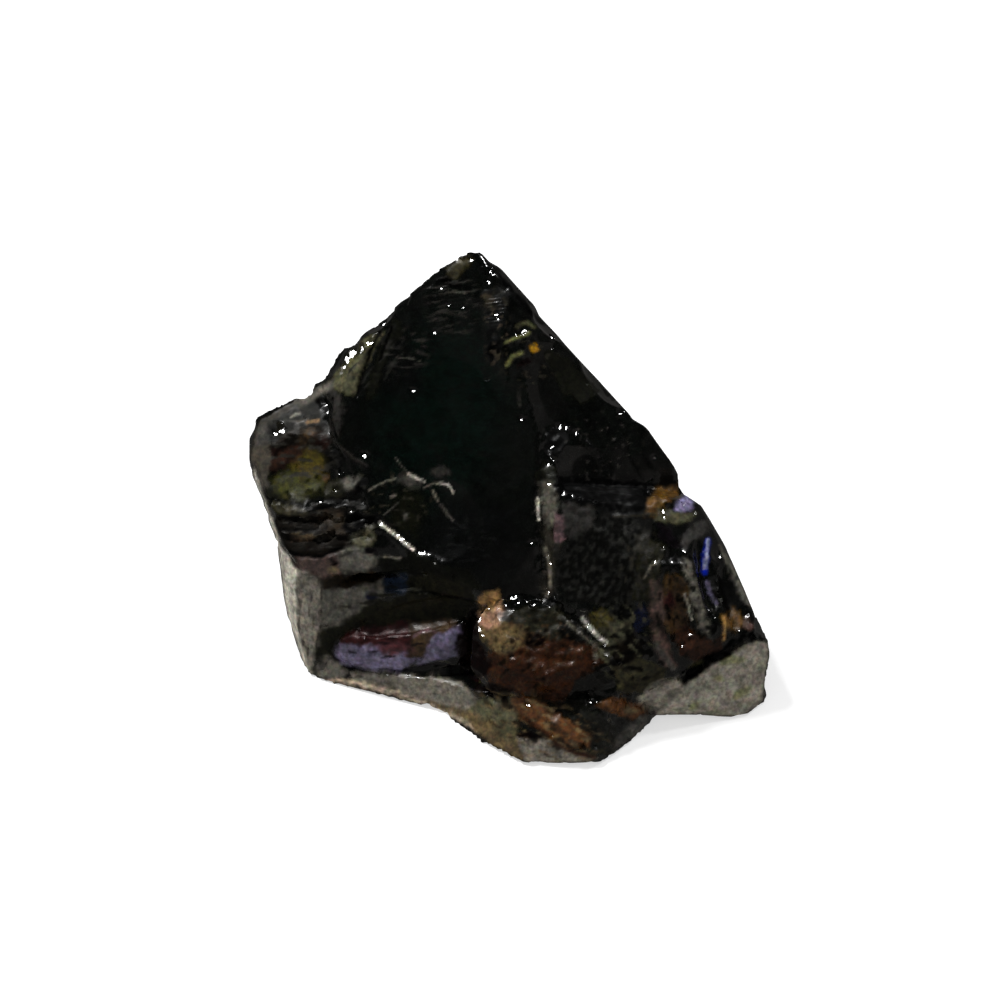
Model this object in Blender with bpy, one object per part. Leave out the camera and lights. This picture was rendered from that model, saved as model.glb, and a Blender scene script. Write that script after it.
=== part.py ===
"""A raw lump of glassy shungite: one solid stone, standing on its broken underside.

The stone is built the way it broke. Convex lumps, each the hull of a few corners, are joined
into the rough mass. Flat splits and shallow round scars are then struck off it, which leaves
the dished faces and sharp ridges of a glassy rock. Metres, +Z up, origin under the middle.
"""

import math

import bmesh
import bpy
from mathutils import Matrix, Vector

MM = 0.001
LEAN = math.radians(40.0)  # how far the show side leans back from upright
SHOW_PLANE = 13.0  # mm out from the origin to the plane on which the show side's corners are laid out
CENTRING = Vector((0.1, 0.35, 0.0))  # mm; puts the middle of the finished stone over the origin
BLACK_GLASS = (0.012, 0.012, 0.013, 1.0)


def shown(across, up, depth):
    """A corner in mm on the show side: right of the middle, up the leaning plane, and behind it."""
    behind = depth - SHOW_PLANE
    return stood(
        across,
        up * math.sin(LEAN) + behind * math.cos(LEAN),
        up * math.cos(LEAN) - behind * math.sin(LEAN),
    )


def shown_way(right, up, toward):
    """A direction on the show side: to the right, up the leaning plane, and out of it."""
    return (shown(right, up, -toward) - shown(0, 0, 0)).normalized()


def stood(x, y, z):
    """A corner in mm in the stone's own frame."""
    return Vector((x, y, z)) + CENTRING


def stood_way(x, y, z):
    """A direction in the stone's own frame."""
    return Vector((x, y, z)).normalized()


# The rough mass, lump by lump.
MASS = {
    "peak": [
        shown(-3.1, 28.6, -0.3), shown(-2.3, 28.6, -0.1), shown(-1.8, 27.9, 0.3),
        shown(-5.3, 27.4, 0.4), shown(-8.3, 24.9, 1.2), shown(-10.2, 23.1, 2.2),
        shown(-12.4, 21.5, 2.8), shown(-13.6, 19.8, 3.4), shown(-14.0, 18.6, 4.0),
        shown(-9.5, 22.7, 0.5), shown(-11.3, 20.0, 0.9), shown(-12.6, 17.4, 1.3),
        shown(-13.6, 15.1, 1.9), shown(-12.3, 13.8, 1.6), shown(-11.0, 12.8, 1.3),
        shown(-9.9, 8.1, 0.9), shown(-8.4, 6.8, 0.6), shown(-6.6, 5.5, 0.4),
        shown(-5.0, 4.4, 0.3), shown(-2.7, 2.9, 0.2), shown(-0.8, 2.0, 0.1), shown(2.6, 1.7, 0.1),
        shown(-1.4, 26.8, -0.7), shown(-0.3, 22.6, -1.4), shown(0.7, 17.3, -1.8),
        shown(1.3, 13.5, -1.6), shown(2.0, 6.7, -0.9), shown(-1.1, 27.2, 0.3),
        shown(2.5, 22.9, 1.4), shown(7.1, 18.4, 2.8), shown(9.2, 16.3, 3.4),
        shown(10.9, 13.9, 4.2), shown(12.6, 11.5, 5.0), shown(13.6, 10.0, 5.6),
        stood(-12.0, 12.0, 13.0), stood(-5.0, 14.5, 19.0), stood(3.0, 14.0, 19.0),
        stood(9.0, 13.0, 10.0), stood(13.0, 10.0, 4.0), stood(-13.0, 12.0, 4.0),
        stood(-9.0, 14.0, -1.0), stood(-1.0, 16.5, 4.0), stood(5.0, 15.5, -1.0),
        stood(14.0, 7.0, -1.0), stood(-12.0, -2.0, -1.0), stood(8.0, -8.0, -1.0),
    ],
    "lobe": [
        shown(-13.9, 18.8, 5.0), shown(-15.5, 17.8, 4.6), shown(-17.1, 17.0, 4.4),
        shown(-18.5, 16.3, 4.4), shown(-19.3, 15.6, 4.8), shown(-19.9, 14.5, 5.4),
        shown(-20.2, 13.1, 6.0), shown(-20.1, 11.8, 6.6), shown(-19.6, 10.5, 7.0),
        shown(-19.2, 9.5, 7.4), shown(-18.1, 15.6, 3.4), shown(-19.0, 14.4, 3.8),
        shown(-19.4, 12.4, 3.8), shown(-18.6, 9.9, 3.2), shown(-13.9, 17.4, 3.4),
        shown(-13.5, 14.9, 2.6), shown(-12.1, 13.6, 2.2), shown(-11.0, 12.6, 1.9),
        shown(-10.7, 10.1, 1.8), shown(-16.1, 14.3, 2.6), shown(-14.6, 11.3, 2.0),
        shown(-16.1, 9.3, 2.5), shown(-12.7, 9.4, 2.1), stood(-15.0, 8.0, 14.0),
        stood(-13.5, 11.0, 12.0), stood(-16.5, 8.0, 6.0), stood(-14.0, 12.0, 5.0),
        stood(-15.5, 3.0, 3.0), stood(-9.0, 10.0, 15.0), stood(-9.0, 13.0, 12.0),
        stood(-9.0, 13.0, 4.0), stood(-12.0, 8.0, 2.0),
    ],
    "plate_upper": [
        shown(-18.9, 9.5, 4.2), shown(-18.3, 9.3, 2.9), shown(-13.0, 9.5, 1.8),
        shown(-10.4, 9.2, 1.6), shown(-18.5, 8.5, 4.4), shown(-17.9, 8.4, 2.7),
        shown(-13.8, 8.3, 1.9), shown(-10.1, 8.4, 1.4), shown(-19.2, 9.3, 7.4),
        shown(-18.8, 8.3, 7.8), stood(-16.0, 6.0, 12.0), stood(-12.0, 4.0, 14.0),
        stood(-15.5, 8.0, 6.0), stood(-12.0, 3.0, 8.0),
    ],
    "plate_middle": [
        shown(-18.6, 8.3, 4.6), shown(-18.1, 8.2, 3.0), shown(-13.8, 8.0, 2.1),
        shown(-10.0, 8.1, 1.5), shown(-18.2, 7.1, 4.2), shown(-17.5, 7.0, 2.7),
        shown(-13.4, 6.9, 1.8), shown(-9.5, 7.4, 1.3), shown(-18.9, 8.2, 7.8),
        shown(-18.5, 7.1, 8.0), stood(-16.0, 6.0, 11.0), stood(-12.0, 4.0, 12.0),
        stood(-15.5, 8.0, 6.0), stood(-12.0, 3.0, 8.0),
    ],
    "ledge": [
        shown(-18.1, 6.8, 4.4), shown(-17.5, 6.7, 3.1), shown(-13.0, 6.7, 2.1),
        shown(-9.0, 7.1, 1.4), shown(-17.4, 6.2, 3.2), shown(-16.3, 5.1, 2.7),
        shown(-14.6, 5.1, 2.3), shown(-12.1, 5.8, 1.8), shown(-9.3, 6.2, 1.5),
        shown(-15.8, 4.0, 3.3), shown(-12.7, 3.9, 3.0), shown(-10.1, 4.1, 2.6),
        shown(-7.3, 4.5, 2.2), shown(-18.5, 6.9, 8.0), stood(-16.0, 6.0, 10.0),
        stood(-12.0, 4.0, 11.0), stood(-15.5, 8.0, 6.0), stood(-12.0, 3.0, 8.0),
    ],
    "pillar": [
        shown(-14.6, 5.0, 2.6), shown(-16.3, 5.0, 3.2), shown(-17.7, 6.4, 4.0),
        shown(-15.5, -4.1, 8.2), shown(-18.2, 6.1, 8.0), shown(-18.0, 4.5, 9.0),
        shown(-17.8, 2.3, 10.0), shown(-17.5, 0.5, 10.2), shown(-16.8, -1.8, 10.2),
        shown(-16.3, -3.2, 9.6), shown(-15.7, -4.1, 8.6), shown(-12.3, 4.7, 4.0),
        shown(-14.1, -4.1, 8.0), stood(-17.0, 3.0, 5.0), stood(-16.3, 7.0, 8.0),
        stood(-14.5, 10.5, 7.0), stood(-15.5, 8.0, -1.0), stood(-13.0, 11.5, -1.0),
        stood(-9.0, 13.0, 6.0), stood(-9.0, 12.5, -1.0), stood(-10.0, -6.0, -1.0),
    ],
    "step": [
        shown(-14.6, 3.1, 4.2), shown(-14.7, -1.2, 6.6), shown(-12.8, -0.1, 5.6),
        shown(-8.5, 2.6, 4.2), shown(-7.2, 4.0, 3.4), shown(-5.0, 2.8, 3.4),
        shown(-2.3, 2.1, 2.0), shown(-14.0, -1.6, 7.0), shown(-2.7, 0.5, 3.4),
        stood(-12.0, 0.0, 0.0), stood(-4.0, 0.0, 0.0), stood(-12.0, 2.0, 8.0),
        stood(-4.0, 2.0, 8.0),
    ],
}

# Lumps that stand on the front of the mass, over its first scars.
FRONT = {
    "roll": [
        shown(-13.2, -1.1, 5.4), shown(-10.8, -0.1, 4.2), shown(-8.5, 0.3, 3.6),
        shown(-5.4, 0.8, 3.0), shown(-3.4, 1.0, 2.6), shown(-14.0, -2.5, 6.8),
        shown(-12.8, -3.1, 6.0), shown(-10.1, -3.4, 5.2), shown(-7.0, -3.6, 4.7),
        shown(-4.2, -3.0, 3.8), shown(-3.2, -1.8, 3.1), shown(-11.1, -1.9, 4.4),
        shown(-8.5, -1.7, 3.8), shown(-4.6, -1.0, 2.8), stood(-12.0, -2.0, 0.0),
        stood(0.0, -6.0, 0.0), stood(0.0, 0.0, 4.0), stood(-10.0, 0.0, 4.0),
    ],
    "rim": [
        shown(-15.3, -4.3, 8.0), shown(-12.9, -4.8, 7.3), shown(-9.5, -5.4, 6.4),
        shown(-6.0, -6.4, 5.1), shown(-14.2, -2.9, 7.2), shown(-12.8, -3.3, 6.3),
        shown(-10.1, -3.6, 5.6), shown(-7.0, -3.8, 5.1), shown(-4.2, -4.1, 3.9),
        shown(-2.9, -4.9, 2.8), stood(-12.0, -2.0, -1.0), stood(-2.0, -6.0, -1.0),
        stood(0.0, 0.0, -1.0), stood(-12.0, 2.0, -1.0), stood(0.0, -6.0, 3.0),
    ],
    "knob": [
        shown(-1.9, 1.5, -0.6), shown(-0.8, 1.8, -0.9), shown(0.7, 2.2, -1.1),
        shown(3.0, 1.7, -1.0), shown(-2.9, -0.9, 0.5), shown(-2.8, 0.2, 0.2),
        shown(-3.1, -3.2, 1.0), shown(-2.2, -4.8, 0.8), shown(-0.8, -5.3, 0.4),
        shown(1.5, -5.5, 0.0), shown(4.2, -5.6, 0.2), shown(6.8, -4.7, -0.2),
        shown(-0.4, -0.1, -1.9), shown(1.5, -1.2, -2.4), shown(-0.8, -2.8, -1.4),
        shown(3.7, -2.3, -2.2), shown(2.2, -3.9, -1.6), shown(6.0, -1.6, -1.2),
        shown(6.0, 0.3, -0.8), stood(0.0, 0.0, 2.0), stood(6.0, 0.0, 2.0),
    ],
    "web": [
        shown(6.5, -1.8, -0.7), shown(7.1, -1.5, -0.8), shown(8.2, -3.0, -0.4),
        shown(10.3, -4.8, 0.7), shown(9.9, -5.3, 1.5), shown(10.0, -6.0, 1.7),
        shown(7.7, -5.6, -0.1), shown(6.4, -5.0, -0.3), shown(6.2, -3.3, -0.8),
        stood(4.0, -3.0, 8.0), stood(9.0, -2.0, 7.0), stood(5.0, -6.0, 3.0),
        stood(9.0, -5.0, 3.0), stood(10.0, -2.0, 3.0),
    ],
    "toe": [
        shown(-6.0, -6.4, 5.2), shown(0.4, -10.1, 0.7), shown(1.1, -10.4, 0.4),
        shown(3.8, -10.4, 0.4), shown(6.8, -10.3, 0.5), shown(7.4, -10.1, 0.8),
        shown(8.0, -9.6, 1.4), shown(9.2, -8.9, 2.3), shown(10.4, -7.7, 3.5),
        shown(11.2, -7.0, 4.5), shown(-2.3, -8.6, 2.5), shown(-1.2, -9.3, 1.6),
        shown(-4.6, -4.5, 3.8), shown(-3.1, -4.9, 2.8), shown(-1.9, -5.5, 1.2),
        shown(1.3, -5.3, -0.3), shown(3.8, -8.1, -0.9), shown(6.8, -9.6, -0.2),
        shown(6.0, -5.8, -0.7), shown(7.7, -5.5, -0.2), shown(9.9, -6.5, 1.8),
        shown(8.8, -8.3, 1.2), shown(3.8, -5.4, -0.6), stood(0.0, 0.0, -1.0),
        stood(10.0, 0.0, -1.0), stood(4.0, -4.0, 3.0),
    ],
    "spur": [
        shown(2.3, 12.5, -0.9), shown(3.2, 13.4, -1.0), shown(3.7, 10.6, -1.7),
        shown(2.3, 9.7, -0.5), shown(3.5, 9.4, -1.8), shown(4.2, 10.3, -1.0),
        shown(2.9, 1.8, -0.3), shown(3.5, 2.2, -1.0), stood(2.0, -2.0, 14.0),
        stood(4.0, -6.0, 10.0),
    ],
    "foot": [
        shown(3.5, 10.5, -1.5), shown(5.4, 9.9, -1.5), shown(6.8, 9.6, -1.3),
        shown(10.6, 9.2, 0.4), shown(12.1, 9.9, 1.8), shown(13.7, 10.0, 4.6),
        shown(3.5, 8.2, -1.9), shown(3.8, 2.2, -1.3), shown(6.8, 5.2, -1.9),
        shown(10.6, 5.2, -0.8), shown(11.0, 2.1, -0.4), shown(6.8, 0.5, -1.3),
        shown(9.9, -1.3, -0.4), shown(2.9, 1.8, -0.3), shown(2.4, 9.7, -0.3),
        shown(11.4, -1.8, 0.2), shown(14.7, 9.3, 4.2), shown(15.7, 7.7, 4.6),
        shown(16.7, 5.9, 4.3), shown(17.2, 4.6, 3.9), shown(18.1, 2.4, 3.2),
        shown(18.7, 1.1, 2.8), shown(18.8, -0.6, 2.0), shown(13.3, -3.8, 0.9),
        shown(10.3, -4.7, 0.6), shown(7.6, -1.6, -0.8), stood(18.0, 1.0, 4.0),
        stood(16.0, 7.0, 5.0), stood(14.5, 9.0, 2.0), stood(17.0, 5.0, -1.0),
        stood(8.0, 11.0, 9.0), stood(9.0, 12.0, 2.0), stood(6.0, -6.0, 1.0),
        stood(4.0, 0.0, 10.0),
    ],
    "heel": [
        shown(12.8, -4.2, 1.9), shown(13.4, -3.9, 1.7), shown(18.8, -0.9, 2.6),
        shown(19.8, -1.1, 3.4), shown(20.0, -2.2, 4.0), shown(11.1, -6.9, 4.6),
        shown(17.8, -7.0, 4.4), shown(19.6, -5.9, 5.9), shown(9.9, -5.3, 1.7),
        shown(11.3, -6.6, 4.2), shown(13.2, -4.7, 2.2), stood(19.3, -4.0, -1.0),
        stood(18.0, 4.0, -1.0), stood(15.0, 8.5, -1.0), stood(17.0, 4.0, 4.0),
        stood(9.0, 12.0, -1.0), stood(9.0, 12.0, 3.0), stood(8.0, 0.0, -1.0),
        stood(6.0, -6.0, 2.0),
    ],
}

# Round scars. Each is a point on the broken face, the way that point faces, the radius of
# the dish, and how deep it bites, in mm. The first ones were struck off the mass alone.
FIRST_SCARS = {
    "main_face": (shown(-5.2, 16.6, -0.4), shown_way(-0.21, -0.03, 0.98), 60.0, 1.2),
    "strike": (shown(-6.1, 9.7, 0.6), shown_way(-0.21, -0.03, 0.98), 18.0, 0.5),
    "right_face": (shown(6.0, 18.5, 1.6), shown_way(0.49, 0.13, 0.86), 30.0, 0.7),
    "arc": (shown(6.0, 12.0, 0.9), shown_way(0.47, -0.03, 0.88), 14.0, 0.5),
    "shoulder": (shown(-9.9, 23.2, 1.9), shown_way(-0.62, 0.68, 0.4), 3.0, 0.15),
}
LATER_SCARS = {
    "lobe": (shown(-15.5, 12.0, 2.3), shown_way(-0.3, 0.04, 0.95), 7.0, 0.8),
    "lobe_top": (shown(-16.6, 16.8, 4.0), shown_way(-0.29, 0.69, 0.67), 8.0, 0.4),
    "foot_face": (shown(6.8, 5.2, -1.9), shown_way(-0.09, -0.1, 0.99), 30.0, 0.5),
    "toe_flank": (shown(-3.3, -6.6, 2.9), shown_way(-0.66, -0.2, 0.72), 9.0, 0.5),
    "toe_corner": (shown(9.1, -7.4, 1.3), shown_way(0.63, -0.13, 0.76), 6.0, 0.6),
    "heel": (shown(15.3, -4.9, 2.7), shown_way(0.32, -0.32, 0.89), 40.0, 0.3),
    "ridge_upper": (shown(2.7, 22.9, 1.4), shown_way(0.7, 0.65, 0.3), 5.0, 0.22),
    "ridge_lower": (shown(6.9, 18.2, 2.7), shown_way(0.75, 0.6, 0.3), 6.0, 0.35),
    "back_peak_right": (stood(6.0, 12.0, 18.0), stood_way(0.5, 0.8, 0.35), 30.0, 1.5),
    "back_peak_left": (stood(-7.0, 12.6, 17.0), stood_way(-0.35, 0.9, 0.3), 24.0, 1.3),
    "back_middle": (stood(-1.5, 15.4, 8.0), stood_way(-0.05, 1.0, 0.0), 34.0, 1.5),
    "back_right": (stood(10.0, 12.4, 5.0), stood_way(0.65, 0.8, 0.0), 26.0, 1.6),
    "back_left": (stood(-11.5, 12.5, 6.0), stood_way(-0.5, 0.85, 0.0), 22.0, 1.5),
    "left_side": (stood(-15.5, 10.5, 7.0), stood_way(-0.9, 0.6, -0.1), 20.0, 1.3),
    "right_side": (stood(17.4, 3.0, 4.5), stood_way(0.9, 0.45, 0.45), 24.0, 1.5),
    "right_shoulder": (stood(12.5, 6.5, 12.0), stood_way(0.75, 0.45, 0.5), 30.0, 1.6),
}

# Flutes: long narrow scoops, each from its middle, the way it faces, the way it runs, and
# its length, width and depth of bite.
FLUTES = {
    "flute_inner": (
        shown(13.2, 0.6, 0.2), shown_way(0.27, -0.09, 0.96), shown_way(0.1, -1, 0), 12.0, 3.0, 0.8,
    ),
    "flute_middle": (
        shown(15.1, 3.6, 1.2), shown_way(0.47, 0.25, 0.85), shown_way(0.3, -1, 0.3), 9.0, 2.0, 0.7,
    ),
    "flute_outer": (
        shown(17.2, 1.6, 1.9), shown_way(0.55, 0.34, 0.76), shown_way(0.35, -1, 0.3), 8.0, 2.4, 0.7,
    ),
    "hollow": (
        shown(-7.0, 0.9, 3.7), shown_way(-0.19, -0.3, 0.9), shown_way(1, 0.22, 0.2), 12.0, 2.6, 0.4,
    ),
    "valley": (
        shown(6.9, -0.6, -1.0), shown_way(-0.16, -0.29, 0.94), shown_way(0.6, -0.75, 0), 6.5, 2.0, 0.7,
    ),
}
DISH_RINGS = 3  # rings of facets from the middle of a round scar to its rim
DISH_SPOKES = 20
FLUTE_SIDES = 16
FLUTE_RINGS = 14
SPLIT_WIDTH = 60.0  # the slab that leaves the flat underside, in mm
SPLIT_DEPTH = 10.0


def mesh_object(name, bm, collection):
    """A new object made of this bmesh."""
    mesh = bpy.data.meshes.new(name)
    bm.to_mesh(mesh)
    bm.free()
    obj = bpy.data.objects.new(name, mesh)
    collection.objects.link(obj)
    return obj


def guide_object(name, bm, collection):
    """An object that only shapes the stone: a lump to join or a cutter."""
    obj = mesh_object(name, bm, collection)
    obj.hide_render = True
    obj.display_type = "WIRE"
    return obj


def hull(corners):
    """The convex lump around these corners."""
    bm = bmesh.new()
    for corner in corners:
        bm.verts.new(corner * MM)
    made = bmesh.ops.convex_hull(bm, input=bm.verts)
    inside = [v for v in made["geom_interior"] if isinstance(v, bmesh.types.BMVert)]
    bmesh.ops.delete(bm, geom=inside, context="VERTS")
    bmesh.ops.recalc_face_normals(bm, faces=bm.faces)
    return bm


def bitten(bm, at, facing, along, radii, bite):
    """Stretch a unit ball to these radii and sink it this deep into the face at a point."""
    side = facing.cross(along).normalized()
    turn = Matrix((side.cross(facing), side, facing)).transposed().to_4x4()
    place = Matrix.Translation((at + facing * (radii[2] - bite)) * MM) @ turn
    stretch = Matrix.Diagonal((*(Vector(radii) * MM), 1.0))
    bmesh.ops.transform(bm, matrix=place @ stretch, verts=bm.verts)
    return bm


def dish(at, facing, radius, bite):
    """A ball for a round scar, with its pole in the middle of the dish."""
    ring = math.sqrt(2 * radius * bite) / DISH_RINGS
    bm = bmesh.new()
    bmesh.ops.create_uvsphere(
        bm, u_segments=DISH_SPOKES, v_segments=round(math.pi * radius / ring), radius=1.0
    )
    return bitten(bm, at, facing, facing.orthogonal(), (radius, radius, radius), bite)


def flute(at, facing, along, length, width, bite):
    """A long ball for a flute, with a pole at each end."""
    bm = bmesh.new()
    bmesh.ops.create_uvsphere(bm, u_segments=FLUTE_SIDES, v_segments=FLUTE_RINGS, radius=1.0)
    bmesh.ops.rotate(bm, verts=bm.verts, matrix=Matrix.Rotation(math.pi / 2, 3, "Y"))
    return bitten(bm, at, facing, along, (length / 2, width / 2, 2 * bite), bite)


def underside_split():
    """A slab whose top is the flat split that the stone stands on."""
    bm = bmesh.new()
    bmesh.ops.create_cube(bm, size=1.0)
    bmesh.ops.scale(bm, vec=(SPLIT_WIDTH * MM, SPLIT_WIDTH * MM, SPLIT_DEPTH * MM), verts=bm.verts)
    bmesh.ops.translate(bm, vec=(0, 0, -SPLIT_DEPTH * MM / 2), verts=bm.verts)
    return bm


def new_collection(name):
    collection = bpy.data.collections.new(name)
    bpy.context.scene.collection.children.link(collection)
    return collection


def boolean(obj, operation, tools):
    """Join a collection of guides to the object, or cut them out of it."""
    modifier = obj.modifiers.new(tools.name, "BOOLEAN")
    modifier.operation = operation
    modifier.solver = "EXACT"
    modifier.operand_type = "COLLECTION"
    modifier.collection = tools


def black_glass():
    """Glassy, almost black carbon."""
    material = bpy.data.materials.new("shungite")
    material.use_nodes = True
    shader = material.node_tree.nodes["Principled BSDF"]
    shader.inputs["Base Color"].default_value = BLACK_GLASS
    shader.inputs["Roughness"].default_value = 0.15
    shader.inputs["Metallic"].default_value = 0.0
    return material


def build():
    for obj in list(bpy.data.objects):
        bpy.data.objects.remove(obj, do_unlink=True)

    peak, *others = MASS.items()
    stone = mesh_object("shungite_stone", hull(peak[1]), new_collection("raw_shungite_stone"))
    stone.data.materials.append(black_glass())

    mass = new_collection("mass")
    for name, corners in others:
        guide_object(name, hull(corners), mass)
    boolean(stone, "UNION", mass)

    first_scars = new_collection("first_scars")
    for name, scar in FIRST_SCARS.items():
        guide_object(name, dish(*scar), first_scars)
    boolean(stone, "DIFFERENCE", first_scars)

    front = new_collection("front")
    for name, corners in FRONT.items():
        guide_object(name, hull(corners), front)
    boolean(stone, "UNION", front)

    later_scars = new_collection("later_scars")
    for name, scar in LATER_SCARS.items():
        guide_object(name, dish(*scar), later_scars)
    for name, scar in FLUTES.items():
        guide_object(name, flute(*scar), later_scars)
    guide_object("underside_split", underside_split(), later_scars)
    boolean(stone, "DIFFERENCE", later_scars)


build()
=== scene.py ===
import math
import random

import bmesh
import bpy
import numpy as np
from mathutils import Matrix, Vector, noise
from mathutils.bvhtree import BVHTree
from mathutils.kdtree import KDTree


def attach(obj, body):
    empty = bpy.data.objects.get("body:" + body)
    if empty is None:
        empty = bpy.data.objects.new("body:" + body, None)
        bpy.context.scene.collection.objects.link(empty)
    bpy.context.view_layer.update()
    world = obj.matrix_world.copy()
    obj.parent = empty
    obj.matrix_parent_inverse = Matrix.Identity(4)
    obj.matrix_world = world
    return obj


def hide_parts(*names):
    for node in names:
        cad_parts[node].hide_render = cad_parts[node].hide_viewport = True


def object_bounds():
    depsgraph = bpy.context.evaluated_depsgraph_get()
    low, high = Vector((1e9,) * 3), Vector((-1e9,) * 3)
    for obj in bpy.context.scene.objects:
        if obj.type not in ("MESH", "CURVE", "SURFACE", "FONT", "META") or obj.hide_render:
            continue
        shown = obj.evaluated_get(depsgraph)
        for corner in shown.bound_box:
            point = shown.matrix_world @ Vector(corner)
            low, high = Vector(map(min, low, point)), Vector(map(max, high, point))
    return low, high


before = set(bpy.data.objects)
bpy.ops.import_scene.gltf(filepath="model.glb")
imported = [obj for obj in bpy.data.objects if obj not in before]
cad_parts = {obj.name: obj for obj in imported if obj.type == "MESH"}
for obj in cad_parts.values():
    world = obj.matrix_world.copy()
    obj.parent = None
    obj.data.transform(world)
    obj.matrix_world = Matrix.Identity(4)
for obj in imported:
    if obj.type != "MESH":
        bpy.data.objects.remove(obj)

cad_low, cad_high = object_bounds()

# ---- the stone's own measures ----

MM = 0.001
STONE_NODE = "shungite_stone"
GRAIN = 0.17 * MM                        # mesh width of the carved skin in front, twice this behind
MERGE_GAP = 0.001 * MM                   # corners of the CAD stone that lie this close are one corner
BASE_HEIGHT = 0.08 * MM                  # below this the skin belongs to the flat base and stays put
EDGE_ANGLE = math.radians(16)            # edges sharper than this keep their exact line
EDGE_STEP = 0.05 * MM
EDGE_REACH = 0.07 * MM                   # skin points this close to a sharp edge are drawn onto it
COARSE_REACH = EDGE_REACH * 3.4          # the same for the wider mesh behind
SHARP_ANGLE = math.radians(38)           # edges sharper than this are shaded as breaks

# ---- the front view that the stone is drawn from ----

VIEW_LEAN = math.radians(40)             # how far the viewer looks down on the stone
ACROSS = Vector((1, 0, 0))
UP = Vector((0, math.sin(VIEW_LEAN), math.cos(VIEW_LEAN)))
AWAY = Vector((0, math.cos(VIEW_LEAN), -math.sin(VIEW_LEAN)))
FRONT_GAP = 13                           # mm from the stone's middle to the plane that front() measures on
FRONT_MIDDLE = Vector((0.1, 0.35, 0)) * MM - AWAY * FRONT_GAP * MM
FRONT_LEAN = -0.05                       # faces that lean further away than this count as behind
EYE_GAP = 290 * MM                       # from the eye to what it looks at
EYE_TARGET = Vector((-0.68, 0.35, 12.70)) * MM
EYE = EYE_TARGET - AWAY * EYE_GAP
LENS, LENS_WIDTH = 135, 36               # the eye's lens and its width, in mm
SQUARES = 1000                           # small squares across the front drawing, and down it
SQUARE = EYE_GAP * LENS_WIDTH / LENS / SQUARES      # how wide one lies on the stone
MARK_SLACK = 40                          # how many squares off the stone a mark may lie
TRAIL_STEP = 0.33 * MM                   # between the points that a drawn line is followed by
HIDDEN_DEPTH = 1.5 * MM                  # what lies this far behind what the eye sees takes no front paint
SQUASH = 0.65                            # how far the depth is pressed out of the noise
PAINT_SQUASH = 0.4                       # the same for the noise in the colours
RICHNESS = 1.25                          # how much richer the colours lie on the stone than in the palette


def seen_way(mark):
    """The arrow from the eye through a mark, which counts squares right and down from a corner."""
    right, down = mark[0] - SQUARES / 2, mark[1] - SQUARES / 2
    return (AWAY * EYE_GAP + ACROSS * right * SQUARE - UP * down * SQUARE).normalized()


def front(across, up):
    """The point at these millimetres on a plane that faces the viewer, in front of the stone."""
    return FRONT_MIDDLE + (ACROSS * across + UP * up) * MM


def direction(azimuth, elevation):
    """A unit arrow from the stone: azimuth 0 points to the viewer's side, 90 to the right."""
    a, e = math.radians(azimuth), math.radians(elevation)
    return Vector((math.sin(a) * math.cos(e), -math.cos(a) * math.cos(e), math.sin(e)))


def turned(turn):
    """The cosine and the sine of a turn in degrees."""
    return math.cos(math.radians(turn)), math.sin(math.radians(turn))


def smooth(value, low, high):
    """A smooth rise from 0 to 1 as the value goes from low to high."""
    share = np.clip((value - low) / (high - low), 0, 1)
    return share * share * (3 - 2 * share)


def squashed(points, share=SQUASH):
    """The points pressed together along the view, so that noise on a steep face isn't drawn out thin."""
    return points - np.outer(points @ np.array(AWAY) * share, AWAY)


# The key lamp, and the way a little break has to face to catch it
KEY_AZIMUTH, KEY_ELEVATION = -120, 62
GLINT_WAY = (direction(KEY_AZIMUTH, KEY_ELEVATION) - AWAY).normalized()


# ---- carving ----


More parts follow.
